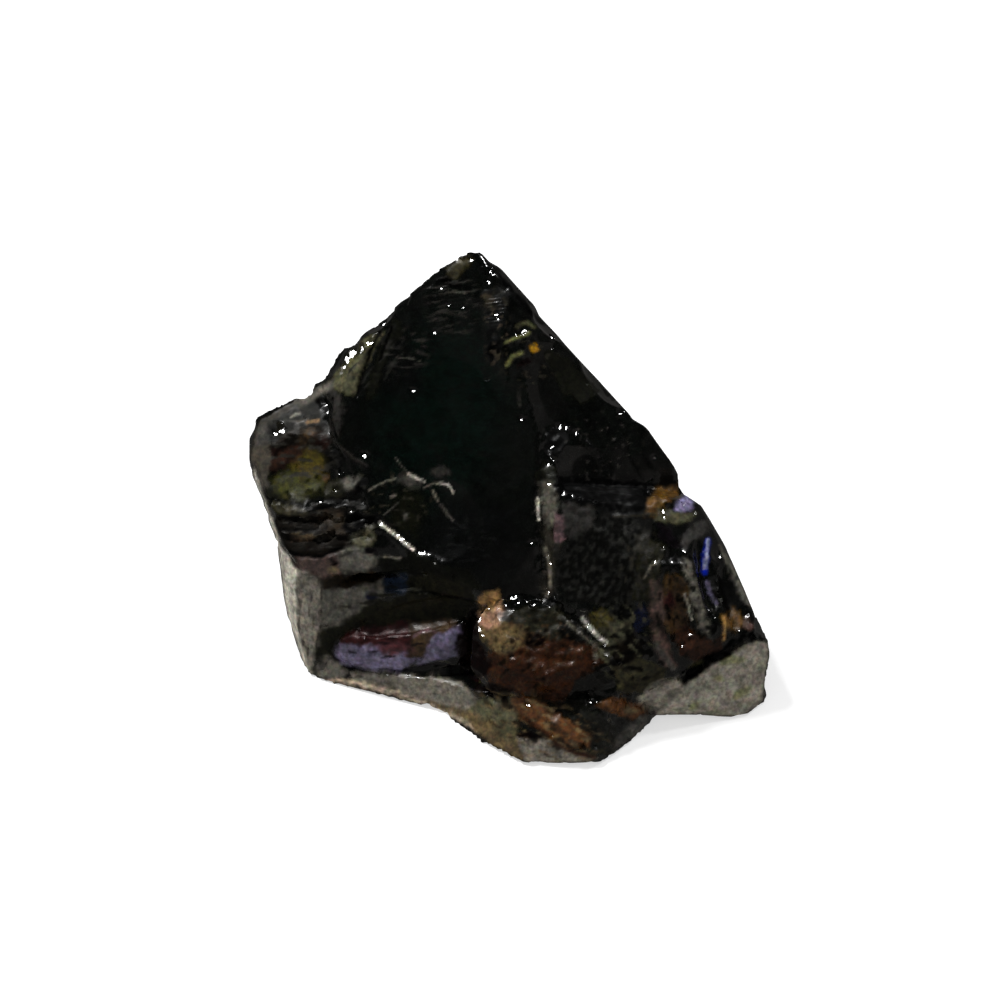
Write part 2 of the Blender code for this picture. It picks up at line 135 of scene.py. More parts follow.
class Skin:
    """The stone's surface, as points that every carving move works on at once."""

    def __init__(self, mesh):
        self.mesh = mesh
        self.dice = random.Random(DICE_SEED)
        self.points = np.empty((len(mesh.vertices), 3))
        mesh.vertices.foreach_get("co", self.points.ravel())
        self.base = self.points[:, 2] < BASE_HEIGHT
        bm = merged_cad()
        self.tree = BVHTree.FromBMesh(bm)
        bm.free()
        self.refresh()

    def refresh(self):
        """Writes the points back to the mesh, and works out afresh where it lies and how it faces."""
        self.points[self.base, 2] = 0.0
        self.mesh.vertices.foreach_set("co", self.points.ravel())
        self.mesh.update()
        ways = np.empty((len(self.points), 3), np.float32)
        self.mesh.vertex_normals.foreach_get("vector", ways.ravel())
        self.ways = ways.astype(float)

    def spot(self, mark):
        """Where the surface lies behind a mark, drawn in if just off the stone."""
        middle = Vector((SQUARES / 2, SQUARES / 2))
        inward = (middle - Vector(mark)).normalized()
        for step in range(MARK_SLACK):
            hit = self.tree.ray_cast(EYE, seen_way(Vector(mark) + inward * step))[0]
            if hit is not None:
                return hit
        raise ValueError(f"the mark {mark} lies off the stone")

    def wobble(self, indices, size, shift=0.0):
        """Smooth noise, mostly from -1 to 1, at some of the points, with lumps of about this many mm."""
        offset = Vector((shift, shift * 0.7, -shift))
        found = [noise.noise(Vector(p) / (size * MM) + offset) for p in squashed(self.points[indices])]
        return np.array(found) * NOISE_LIFT

    def pick(self, middle, reach, ragged=0.0):
        """The numbers of the points within reach millimetres of a middle, with a ragged border."""
        gap = np.linalg.norm(self.points - np.array(middle), axis=1)
        found = np.nonzero(gap < reach * MM * (1 + ragged))[0]
        if ragged and len(found):
            border = 1 + ragged * self.wobble(found, reach * 0.7, reach)
            found = found[gap[found] < reach * MM * border]
        return found[~self.base[found]]

    def shave_at(self, middle, way, reach, bite):
        """Planes off what stands above a flat facet, bite millimetres under the middle."""
        found = self.pick(middle, reach, RAGGED)
        if not len(found):
            return
        arrow = np.array(way)
        height = (self.points[found] - np.array(middle)) @ arrow + bite * MM
        self.points[found] -= np.outer(np.maximum(height, 0), arrow)

    def shave(self, mark, way, reach, bite):
        """Planes off a flat facet behind a mark."""
        middle = np.array(self.spot(mark))
        nearest = np.argmin(np.sum((self.points - middle) ** 2, axis=1))
        self.shave_at(self.points[nearest], way, reach, bite)

    def scoop_at(self, middle, way, reach, bite, rings, pitch):
        """Strikes off a shell-shaped flake, reach millimetres in radius, with rings about one end."""
        radius = (reach**2 + bite**2) / (2 * bite) * MM
        arrow = np.array(way)
        centre = np.array(middle) + arrow * (radius - bite * MM)
        found = self.pick(middle, reach * 1.3)
        if not len(found):
            return
        across = self.points[found] - centre
        along = across @ arrow
        side = np.sum(across**2, axis=1) - along**2
        depth = np.sqrt(np.maximum(radius**2 - side, 0))
        strike = np.array(middle) + np.array(UP) * reach * MM
        far = np.linalg.norm(self.points[found] - strike, axis=1)
        depth = depth + rings * MM * np.sin(far * 2 * math.pi / (pitch * MM))
        drop = along + depth
        inside = (side < radius**2) & (drop > 0) & (along < radius)
        self.points[found[inside]] -= np.outer(drop[inside], arrow)

    def trail(self, marks):
        """Points along the surface behind a drawn line."""
        found = []
        for start, end in zip(marks, marks[1:]):
            steps = max(1, round(math.dist(start, end) * SQUARE / TRAIL_STEP))
            for step in range(steps):
                share = step / steps
                found.append(self.spot([s + (e - s) * share for s, e in zip(start, end)]))
        found.append(self.spot(marks[-1]))
        return np.array([list(p) for p in found])

    def line(self, marks, width, height, broken=0.0):
        """Raises a lip along a drawn line, or sinks a crack where the height is below nothing."""
        path = self.trail(marks)
        middle = path.mean(axis=0)
        reach = np.linalg.norm(path - middle, axis=1).max() / MM + width * 3
        found = self.pick(middle, reach)
        gap = np.full(len(found), 1.0)
        for point in path:
            gap = np.minimum(gap, np.linalg.norm(self.points[found] - point, axis=1))
        share = np.exp(-((gap / (width * 0.5 * MM)) ** 2))
        close = share > LEAST_SHARE
        found, share = found[close], share[close]
        if broken:
            share = share * np.clip(1 + broken * self.wobble(found, BROKEN_LUMP, width), 0, 2)
        self.points[found] += self.ways[found] * (share * height * MM)[:, None]

    def patch_of(self, mark, size, turn, depth):
        """The points of an oval part of the front, and how deep in it each lies, from 0 to 1."""
        gap = self.points - np.array(self.spot(mark))
        c, s = turned(turn)
        along = gap @ np.array(ACROSS * c + UP * s) / (size[0] * MM)
        over = gap @ np.array(UP * c - ACROSS * s) / (size[1] * MM)
        away = gap @ np.array(AWAY) / (depth * MM)
        far = along**2 + over**2 + away**2
        found = np.nonzero(far < 1)[0]
        return found, 1 - far[found]

    def swell(self, mark, size, turn, way, height):
        """Bulges an oval part of the front out along a way across and up the front."""
        found, inside = self.patch_of(mark, size, turn, SWELL_DEPTH)
        arrow = np.array((ACROSS * way[0] + UP * way[1]).normalized())
        self.points[found] += np.outer(smooth(inside, 0, SWELL_TOP) * height * MM, arrow)

    def roughen(self, mark, size, height, lump, turn=0.0, depth=2.5, shift=3.0):
        """Ruffles an oval part of the front with lumps of this many millimetres, steep faces less."""
        found, inside = self.patch_of(mark, size, turn, depth)
        above = ~self.base[found]
        found, inside = found[above], inside[above]
        if len(found):
            facing = np.clip(self.ways[found] @ -np.array(AWAY) * FACING_RISE, FACING_LEAST, 1)
            rise = self.wobble(found, lump, shift) * height * MM * np.minimum(inside * RIM_RISE, 1) * facing
            self.points[found] += self.ways[found] * rise[:, None]

    def settle(self, chosen, rounds):
        """Eases each of the chosen points toward the middle of its neighbours."""
        ends = np.empty((len(self.mesh.edges), 2), np.int32)
        self.mesh.edges.foreach_get("vertices", ends.ravel())
        count = np.bincount(ends.ravel(), minlength=len(self.points))[:, None]
        for _ in range(rounds):
            total = np.zeros_like(self.points)
            np.add.at(total, ends[:, 0], self.points[ends[:, 1]])
            np.add.at(total, ends[:, 1], self.points[ends[:, 0]])
            self.points[chosen] += (total / count - self.points)[chosen] * SETTLE_SHARE

    def toss(self):
        """A short random arrow."""
        return Vector([self.dice.uniform(-1, 1) for _ in range(3)])


DICE_SEED = 7
NOISE_LIFT = 1.6                         # brings Blender's noise up to about -1 to 1
RAGGED = 0.25                            # how ragged the border of a shaved facet is
LEAST_SHARE = 0.02                       # where a line's rise is less than this share, it ends
BROKEN_LUMP = 0.9                        # the length in mm of the breaks in a broken line
SWELL_DEPTH = 6.0                        # how far back a swell reaches, in mm
SWELL_TOP = 0.7                          # how deep inside its oval a swell has its full height
FACING_RISE = 2.2                        # how fast ruffles come in as a face turns to the eye
FACING_LEAST = 0.1                       # the share of them that every face has
RIM_RISE = 3                             # how fast they come in from the rim of their oval
SETTLE_SHARE = 0.5                       # how far a settling point moves to its neighbours' middle


def merged_cad():
    """A copy of the CAD stone with its corners merged, as a bmesh."""
    bm = bmesh.new()
    bm.from_mesh(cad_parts[STONE_NODE].data)
    bmesh.ops.remove_doubles(bm, verts=bm.verts, dist=MERGE_GAP)
    return bm


def sharp_line_points(bm):
    """Points close together along the stone's sharp edges, as a search tree."""
    found = []
    for edge in bm.edges:
        if len(edge.link_faces) == 2 and abs(edge.calc_face_angle_signed()) > EDGE_ANGLE:
            start, end = [v.co for v in edge.verts]
            steps = max(1, round(edge.calc_length() / EDGE_STEP))
            found += [start.lerp(end, step / steps) for step in range(steps + 1)]
    tree = KDTree(len(found))
    for i, point in enumerate(found):
        tree.insert(point, i)
    tree.balance()
    return tree


def fine_copy(name):
    """A close-meshed copy of the CAD stone on its own faces and edges, closer still in front."""
    bm = merged_cad()
    mesh = bpy.data.meshes.new(name)
    bm.to_mesh(mesh)
    faces = BVHTree.FromBMesh(bm)
    sharp = sharp_line_points(bm)
    bm.free()
    lump = bpy.data.objects.new(name, mesh)
    bpy.context.scene.collection.objects.link(lump)
    remesh = lump.modifiers.new("grain", "REMESH")
    remesh.mode = "VOXEL"
    remesh.voxel_size = GRAIN * 2
    depsgraph = bpy.context.evaluated_depsgraph_get()
    fine = bpy.data.meshes.new_from_object(lump.evaluated_get(depsgraph))
    lump.modifiers.clear()
    lump.data = fine
    bm = bmesh.new()
    bm.from_mesh(fine)
    bm.normal_update()
    ahead = {v for v in bm.verts if v.normal.dot(AWAY) < FRONT_LEAN and v.co.z > BASE_HEIGHT}
    split = [e for e in bm.edges if e.verts[0] in ahead and e.verts[1] in ahead]
    coarse = set(bm.verts) - ahead
    bmesh.ops.subdivide_edges(bm, edges=split, cuts=1, use_grid_fill=True)
    for vertex in bm.verts:
        vertex.co = faces.find_nearest(vertex.co)[0]
        corner, _, gap = sharp.find(vertex.co)
        if gap < (COARSE_REACH if vertex in coarse else EDGE_REACH):
            vertex.co = corner
    bmesh.ops.triangulate(bm, faces=[f for f in bm.faces if len(f.verts) > 4])
    bm.to_mesh(fine)
    bm.free()
    return lump


NICKED_ANGLE = math.radians(22)          # edges sharper than this are nicked
NICK_EVERY = 3.2 * MM
NICK_LEAN = 0.35
NICK_REACH, NICK_BITE = (0.3, 0.8), (0.0, 0.06)     # from the least to the most, in mm


def worn_edges(skin):
    """Nicks every sharp edge of the stone, where it has knocked against others."""
    bm = merged_cad()
    for edge in bm.edges:
        if len(edge.link_faces) != 2 or edge.calc_face_angle_signed() < NICKED_ANGLE:
            continue
        start, end = [v.co for v in edge.verts]
        if max(start.z, end.z) < BASE_HEIGHT:
            continue
        facing = (edge.link_faces[0].normal + edge.link_faces[1].normal).normalized()
        nicks = edge.calc_length() / NICK_EVERY
        for _ in range(int(nicks + skin.dice.random())):
            middle = start.lerp(end, skin.dice.random())
            way = (facing + skin.toss() * NICK_LEAN).normalized()
            reach = skin.dice.uniform(*NICK_REACH)
            skin.shave_at(middle, way, reach, skin.dice.uniform(*NICK_BITE))
    bm.free()


FLAKES = 70
FLAKE_LEAN = 0.25
FLAKE_REACH = (1.2, 4.5)                 # from the least to the most, in mm
FLAKE_BITE = (0.04, 0.09)                # as a share of the reach
FLAKE_RINGS, RING_PITCH = 0.012, (0.8, 1.3)         # how high the rings stand and how far apart, in mm
BACK_LEAN, FLANK_LEAN = 0.1, -0.2        # points that face away this much are flaked, and these are spared
SETTLE_ROUNDS = 2


def back_flakes(skin):
    """Shell-shaped flakes over the back and the sides, which the front view doesn't show."""
    behind = np.nonzero((skin.ways @ np.array(AWAY) > BACK_LEAN) & ~skin.base)[0]
    for _ in range(FLAKES):
        i = behind[skin.dice.randrange(len(behind))]
        way = (Vector(skin.ways[i]) + skin.toss() * FLAKE_LEAN).normalized()
        reach = skin.dice.uniform(*FLAKE_REACH)
        around = skin.pick(skin.points[i], reach * 1.3)
        if np.any(skin.ways[around] @ np.array(AWAY) < FLANK_LEAN):
            continue
        bite = reach * skin.dice.uniform(*FLAKE_BITE)
        skin.scoop_at(skin.points[i], way, reach, bite, FLAKE_RINGS, skin.dice.uniform(*RING_PITCH))
    skin.settle(behind, SETTLE_ROUNDS)


# The slow swell of a glassy break, and a closer one on it: the lump, the shift and the height in mm
BREAK_SWELLS = ((3.2, 11.0, 0.05), (1.1, 5.0, 0.012))


def ruffled_all_over(skin):
    """Gives the whole stone the slow swell of a glassy break."""
    everywhere = np.nonzero(~skin.base)[0]
    rise = sum(skin.wobble(everywhere, lump, shift) * height for lump, shift, height in BREAK_SWELLS)
    skin.points[everywhere] += skin.ways[everywhere] * (rise * MM)[:, None]


# Where the stone bulges past its flat faces: middle, half length and half width in mm, turn,
# the way it bulges across and up the front, and how far in mm
SWELLS = (
    ((338, 375), (2.8, 2.0), 55, (-0.75, 0.65), 0.6),
    ((275, 412), (2.5, 1.6), 20, (-0.4, 0.9), 0.4),
    ((255, 440), (1.6, 2.4), 0, (-1, 0.2), 0.3),
    ((655, 455), (3.4, 2.0), -58, (0.85, 0.5), 0.55),
    ((515, 285), (3.0, 1.6), -50, (0.7, 0.7), 0.3),
    ((470, 728), (2.2, 1.6), -35, (-0.6, -0.8), 0.5),
    ((755, 705), (1.4, 1.8), 0, (1, -0.3), 0.25),
)

# A line is carved by its marks on the front drawing, its width and its height in mm, and how broken it
# is. Below nothing, the height is the depth of a crack. A roughened part is an oval by its middle and
# its half length and half width in mm, with the height and the size of its lumps in mm.


def carve_bulges(skin):
    for swell in SWELLS:
        skin.swell(*swell)


def carve_peak(skin):
    skin.roughen((494, 315), (0.8, 3.2), 0.07, 0.5, turn=8)
    skin.line([(484, 292), (486, 312), (487, 334), (490, 360)], 0.4, 0.06, 0.6)
    skin.line([(502, 292), (500, 318), (502, 345), (506, 380)], 0.4, 0.06, 0.6)
    skin.line([(378, 333), (368, 360), (357, 395)], 0.5, -0.2)
    skin.line([(390, 328), (384, 345), (376, 372)], 0.4, -0.1)
    skin.line([(371, 340), (357, 356), (346, 380)], 0.5, 0.1, 0.3)


def carve_main_face(skin):
    skin.line([(424, 488), (430, 485), (437, 483), (449, 485), (453, 493)], 0.35, 0.03, 0.4)
    skin.line([(433, 489), (438, 502), (447, 512), (453, 520)], 0.35, 0.03, 0.4)
    skin.line([(408, 473), (416, 477), (425, 482)], 0.4, 0.05, 0.3)
    skin.line([(370, 490), (378, 484), (395, 479)], 0.35, 0.03, 0.4)
    skin.line([(384, 515), (397, 504)], 0.3, 0.02, 0.3)
    skin.roughen((372, 486), (2.4, 2.4), 0.05, 0.8)
    skin.line([(330, 438), (345, 450), (355, 460), (366, 464)], 0.5, 0.08, 0.4)
    skin.line([(378, 521), (384, 525), (398, 537), (416, 550), (442, 563)], 0.45, 0.12, 0.15)


def carve_right_face(skin):
    skin.roughen((520, 345), (1.8, 1.8), 0.07, 0.6)
    skin.line([(506, 343), (517, 338), (529, 333)], 0.4, 0.1)
    skin.line([(507, 364), (512, 357), (521, 353)], 0.4, 0.1)
    skin.line([(540, 444), (550, 431), (564, 428), (583, 439), (600, 455), (610, 476)], 0.5, 0.08, 0.4)
    skin.roughen((550, 448), (1.2, 1.8), 0.08, 0.5)


def carve_foot(skin):
    skin.roughen((605, 565), (5.0, 5.4), 0.05, 0.7)
    skin.roughen((605, 565), (5.0, 5.4), 0.02, 0.3, shift=8)
    skin.line([(556, 491), (570, 496), (582, 500), (597, 503)], 0.4, 0.1, 0.3)
    skin.line([(613, 516), (655, 515), (690, 502)], 0.35, 0.03, 0.3)
    skin.roughen((668, 500), (2.2, 1.6), 0.1, 0.6)
    skin.line([(538, 490), (539, 520), (545, 550), (551, 596)], 0.4, 0.12, 0.4)
    skin.roughen((548, 535), (1.0, 5.4), 0.06, 0.5, turn=-4)
    skin.line([(584, 619), (594, 632), (606, 646)], 0.5, 0.14, 0.4)
    skin.line([(570, 622), (584, 636), (600, 646)], 0.5, 0.1, 0.4)
    skin.roughen((605, 635), (3.2, 2.8), 0.12, 0.8)


def carve_flutes(skin):
    skin.line([(684, 555), (688, 580), (697, 612), (709, 636)], 0.7, 0.16, 0.2)
    skin.line([(658, 575), (655, 610), (660, 645), (673, 668)], 0.7, 0.16, 0.2)
    skin.line([(684, 594), (688, 610), (692, 636)], 0.4, 0.12, 0.3)
    skin.line([(724, 612), (724, 640)], 0.4, 0.12, 0.3)
    skin.roughen((700, 600), (4.8, 5.4), 0.09, 0.7)


def carve_knob(skin):
    skin.roughen((540, 650), (5.5, 4.4), 0.14, 1.2, depth=4)
    skin.roughen((540, 650), (5.5, 4.4), 0.07, 0.45, depth=4, shift=9)
    skin.line([(482, 613), (493, 609), (508, 604)], 0.4, 0.12, 0.3)
    skin.line([(478, 618), (480, 630), (487, 644)], 0.4, 0.12, 0.3)


def carve_lobe(skin):
    skin.roughen((300, 425), (4.0, 2.4), 0.06, 0.8)
    skin.roughen((300, 470), (4.0, 3.4), 0.06, 1.0)
    skin.line([(282, 530), (305, 530), (326, 528)], 0.4, -0.04, 0.4)
    skin.line([(290, 540), (312, 539), (330, 541)], 0.4, -0.03, 0.4)
    skin.line([(304, 509), (320, 508), (336, 505), (350, 500)], 0.4, -0.04, 0.4)
    skin.line([(296, 555), (322, 556), (342, 548)], 0.4, -0.05, 0.4)
    skin.roughen((325, 525), (5.4, 2.9), 0.05, 0.8, shift=6)


def carve_steps(skin):
    skin.line([(321, 578), (321, 620), (316, 650), (311, 676)], 0.4, 0.08)
    skin.roughen((345, 566), (4.6, 1.4), 0.06, 0.7)
    skin.roughen((400, 645), (6.0, 2.4), 0.08, 0.7)
    skin.roughen((420, 600), (6.0, 2.4), 0.06, 1.0)
    skin.line([(333, 655), (346, 667), (400, 671), (425, 665), (445, 664), (462, 670)], 0.45, -0.12, 0.2)


def carve_toe(skin):
    skin.roughen((540, 725), (7.5, 4.0), 0.12, 1.1, depth=4)
    skin.roughen((540, 725), (7.5, 4.0), 0.05, 0.4, depth=4, shift=7)
    skin.line([(528, 702), (560, 728), (600, 756)], 0.7, 0.14, 0.3)
    skin.line([(518, 735), (530, 737), (542, 738)], 0.5, -0.16)
    skin.roughen((620, 715), (3.0, 3.0), 0.12, 0.7, depth=4)


def carve_heel(skin):
    skin.roughen((715, 685), (4.5, 3.2), 0.05, 1.2, depth=4)
    skin.roughen((715, 685), (4.5, 3.2), 0.02, 0.35, depth=4, shift=7)
    skin.line([(684, 680), (720, 658), (756, 636)], 0.6, -0.25)


# The little breaks that catch the lamp: where each is, and its reach in mm
GLINTS = (
    ((471, 258), 0.26), ((483, 265), 0.18), ((492, 273), 0.3), ((490, 281), 0.28), ((448, 305), 0.18),
    ((463, 307), 0.18), ((436, 332), 0.22), ((413, 391), 0.24), ((487, 380), 0.2), ((365, 455), 0.28),
    ((496, 314), 0.2), ((497, 319), 0.18), ((369, 344), 0.34), ((361, 350), 0.4), ((355, 354), 0.4),
    ((351, 361), 0.36), ((347, 369), 0.34), ((344, 377), 0.2), ((393, 313), 0.28), ((384, 323), 0.22),
    ((280, 425), 0.4), ((281, 430), 0.4), ((275, 434), 0.26), ((352, 510), 0.2), ((335, 490), 0.18),
    ((381, 523), 0.26), ((385, 526), 0.26), ((389, 529), 0.24), ((394, 534), 0.26), ((398, 537), 0.28),
    ((402, 540), 0.26), ((406, 543), 0.24), ((410, 546), 0.24), ((414, 549), 0.22), ((420, 553), 0.22),
    ((424, 554), 0.24), ((436, 561), 0.18), ((425, 574), 0.24), ((466, 619), 0.24), ((356, 673), 0.18),
    ((326, 625), 0.18), ((553, 338), 0.26), ((553, 348), 0.24), ((521, 420), 0.22), ((560, 427), 0.24),
    ((566, 429), 0.26), ((576, 434), 0.22), ((582, 439), 0.18), ((552, 448), 0.24), ((548, 464), 0.22),
    ((549, 484), 0.18), ((531, 542), 0.2), ((538, 502), 0.22), ((539, 516), 0.26), ((563, 493), 0.2),
    ((571, 496), 0.24), ((581, 499), 0.2), ((596, 502), 0.18), ((518, 601), 0.16), ((493, 609), 0.16),
    ((499, 607), 0.16), ((506, 605), 0.15), ((479, 621), 0.24), ((480, 628), 0.24), ((482, 635), 0.2),
    ((600, 638), 0.26), ((593, 631), 0.24), ((588, 624), 0.2), ((606, 644), 0.26), ((663, 511), 0.26),
    ((665, 517), 0.2), ((695, 514), 0.18), ((655, 561), 0.24), ((663, 547), 0.2), ((720, 556), 0.2),
    ((652, 458), 0.18), ((650, 480), 0.18), ((528, 705), 0.26), ((551, 736), 0.2), ((590, 697), 0.24),
    ((588, 706), 0.22), ((682, 646), 0.22), ((684, 672), 0.2), ((690, 633), 0.2), ((724, 636), 0.18),
    ((548, 555), 0.2), ((551, 562), 0.18), ((548, 592), 0.2),
)
GLINT_PLANE = 1.15                       # how wide a glint's little plane is, as a share of its reach
GLINT_BITE = 0.45                        # how deep it goes, as a share of its reach
GLINT_LEAST_BITE = 0.1                   # and how deep at least, in mm


def carve_glints(skin):
    """Planes little facets that face halfway between the eye and the key lamp."""
    for mark, reach in GLINTS:
        skin.shave(mark, GLINT_WAY, reach * GLINT_PLANE, max(GLINT_LEAST_BITE, reach * GLINT_BITE))


# ---- finishes ----


class Wire:
    """A number or colour on its way through a finish. Numbers can be written in sums."""

    def __init__(self, wiring, socket):
        self.wiring = wiring
        self.socket = socket

    def _sum(self, operation, *values):
        return self.wiring.node("ShaderNodeMath", {"operation": operation}, dict(enumerate(values)))

    def __add__(self, other):
        return self._sum("ADD", self, other)

    def __mul__(self, other):
        return self._sum("MULTIPLY", self, other)

    __radd__ = __add__
    __rmul__ = __mul__


class Wiring:
    """The nodes of a finish, or of the room around the stone, added one by one."""

    def __init__(self, tree):
        self.tree = tree

    def feed(self, node, inputs):
        """Gives sockets their values or links. A socket is named, or numbered."""
        for key, value in inputs.items():
            socket = node.inputs[key]
            if isinstance(value, Wire):
                self.tree.links.new(value.socket, socket)
            else:
                socket.default_value = value

    def node(self, kind, settings=None, inputs=None, out=0):
        """Adds a node, sets it up, feeds its sockets, and returns one of its outputs."""
        node = self.tree.nodes.new(kind)
        for key, value in (settings or {}).items():
            setattr(node, key, value)
        self.feed(node, inputs or {})
        return Wire(self, node.outputs[out])

    def cloud(self, where, size, detail, out=0):
        """Cloudy noise with lumps of about this many millimetres."""
        inputs = {"Vector": where, "Scale": 1 / (size * MM), "Detail": detail}
        return self.node("ShaderNodeTexNoise", {}, inputs, out)

    def ramp(self, value, low, high, to_low=0.0, to_high=1.0, bend="SMOOTHSTEP"):
        """Turns the span from low to high into a rise from to_low to to_high."""
        inputs = {0: value, 1: low, 2: high, 3: to_low, 4: to_high}
        return self.node("ShaderNodeMapRange", {"interpolation_type": bend}, inputs)

    def blend(self, under, over, share):
        """Lays one colour over another."""
        return self.node("ShaderNodeMix", {"data_type": "RGBA"}, {0: share, 6: under, 7: over}, 2)

    def blend_arrows(self, under, over, share):
        """Goes part of the way from one arrow to another."""
        return self.node("ShaderNodeMix", {"data_type": "VECTOR"}, {0: share, 4: under, 5: over}, 1)

    def vector(self, operation, first, second, out=0):
        return self.node("ShaderNodeVectorMath", {"operation": operation}, {0: first, 1: second}, out)

    def scaled(self, arrow, size):
        """An arrow or a colour made longer or lighter."""
        return self.node("ShaderNodeVectorMath", {"operation": "SCALE"}, {0: arrow, "Scale": size})

    def is_ray(self, kind):
        return self.node("ShaderNodeLightPath", out=f"Is {kind} Ray")


class Finish(Wiring):
    """A material, built up node by node."""

    def __init__(self, name, **constants):
        self.material = bpy.data.materials.new(name)
        self.material.use_nodes = True
        super().__init__(self.material.node_tree)
        self.shader = self.tree.nodes["Principled BSDF"]
        self.feed(self.shader, {key.replace("_", " "): value for key, value in constants.items()})

    def painted_on(self, name):
        """A colour that is kept on the piece under this name."""
        return self.node("ShaderNodeAttribute", {"attribute_name": name}, out="Color")

    def part_of(self, colour, part):
        return self.node("ShaderNodeSeparateColor", {}, {"Color": colour}, part)


def srgb(red, green, blue):
    """A colour from the 0 to 255 numbers of a paint chart."""
    shares = [c / 255 for c in (red, green, blue)]
    return tuple(s / 12.92 if s <= 0.04045 else ((s + 0.055) / 1.055) ** 2.4 for s in shares) + (1.0,)


# ---- colours and where they lie ----


# The stone's finishes: the colour of each, and how metallic it is
PITCH = (srgb(3, 3, 3), 0.9)
SOOT = (srgb(8, 8, 6), 0.8)
SMOKE = (srgb(6, 7, 7), 0.4)
GLASS = (srgb(7, 8, 7), 0.0)
GREEN_GLASS = (srgb(4, 11, 8), 0.0)
SLATE = (srgb(20, 21, 20), 0.4)
DIM_GREY = (srgb(36, 34, 31), 0.0)
GREY = (srgb(60, 58, 53), 0.0)
ASH = (srgb(80, 77, 69), 0.0)
PALE_ASH = (srgb(106, 101, 91), 0.0)
STONE_GREY = (srgb(122, 117, 106), 0.0)
PALE_STONE = (srgb(140, 136, 124), 0.0)
CREAM = (srgb(175, 160, 140), 0.0)
# the near-white of painted highlights
PAINTED_HIGHLIGHT_WHITE = (srgb(240, 235, 222), 0.0)
MUD = (srgb(32, 29, 21), 0.0)
TAUPE = (srgb(54, 48, 38), 0.0)
BUFF = (srgb(86, 72, 48), 0.0)
COAL = (srgb(14, 14, 11), 0.7)
LIMESTONE = (srgb(176, 172, 160), 0.0)
SAGE = (srgb(74, 72, 52), 0.0)
GRAPHITE = (srgb(24, 24, 20), 0.2)
SAND = (srgb(134, 106, 72), 0.0)
PEACH = (srgb(160, 128, 106), 0.0)
BARK = (srgb(54, 38, 20), 0.2)
BROWN = (srgb(80, 48, 16), 0.1)
UMBER = (srgb(34, 24, 8), 0.4)
DARK_BROWN = (srgb(16, 10, 3), 0.7)
RED_BROWN = (srgb(32, 12, 5), 0.7)
RUST = (srgb(52, 26, 8), 0.3)
OCHRE = (srgb(78, 54, 6), 0.0)
HONEY = (srgb(56, 38, 5), 0.1)
AMBER = (srgb(156, 120, 40), 0.0)
YELLOW_OLIVE = (srgb(78, 68, 10), 0.4)
GREEN_OLIVE = (srgb(56, 56, 16), 0.4)
OLIVE = (srgb(62, 56, 14), 0.1)
DIM_OLIVE = (srgb(44, 40, 18), 0.2)
DARK_OLIVE = (srgb(15, 16, 5), 0.5)
MOSS = (srgb(27, 26, 9), 0.4)
GREY_OLIVE = (srgb(62, 60, 42), 0.0)
KHAKI = (srgb(98, 98, 64), 0.0)
MAROON = (srgb(16, 4, 4), 0.8)
CRIMSON = (srgb(42, 8, 8), 0.3)
WINE = (srgb(74, 36, 40), 0.1)
ROSE = (srgb(88, 68, 70), 0.0)
DUSTY_ROSE = (srgb(64, 48, 42), 0.0)
LILAC = (srgb(100, 94, 114), 0.2)
LAVENDER = (srgb(114, 108, 136), 0.0)
DARK_VIOLET = (srgb(14, 8, 14), 0.7)
STEEL = (srgb(24, 32, 46), 0.3)
NAVY = (srgb(12, 18, 42), 0.4)
BLUE = (srgb(36, 50, 148), 0.2)
# the pale colour of a painted highlight
PAINTED_HIGHLIGHT_ICE = (srgb(178, 180, 200), 0.2)


# Tarnish on the sides that the front doesn't show: the size of its lumps in mm, how sparse it is,
# its finish, and how dull and how grainy it is
WEATHER = {
    "dull_breaks": (5.0, 0.0, SLATE, 0.4, 0.4),
    "brown_hollows": (3.4, 0.18, UMBER, 0.5, 0.5),
    "olive_film": (4.2, 0.25, DIM_OLIVE, 0.45, 0.4),
    "grey_dust": (1.6, 0.3, MUD, 0.6, 0.6),
}


# Each broad stain, laid first: its middle on the front, its half length and half width in mm,
# its turn in degrees, its finish, and how dull and how grainy it is.
STAINS = {
    "green_black_glass": ((440, 410), (5.6, 9.0), -14, GREEN_GLASS, 0.1, 0.0),
    "face_brown": ((400, 370), (1.9, 2.4), 10, SMOKE, 0.25, 0.3),
}
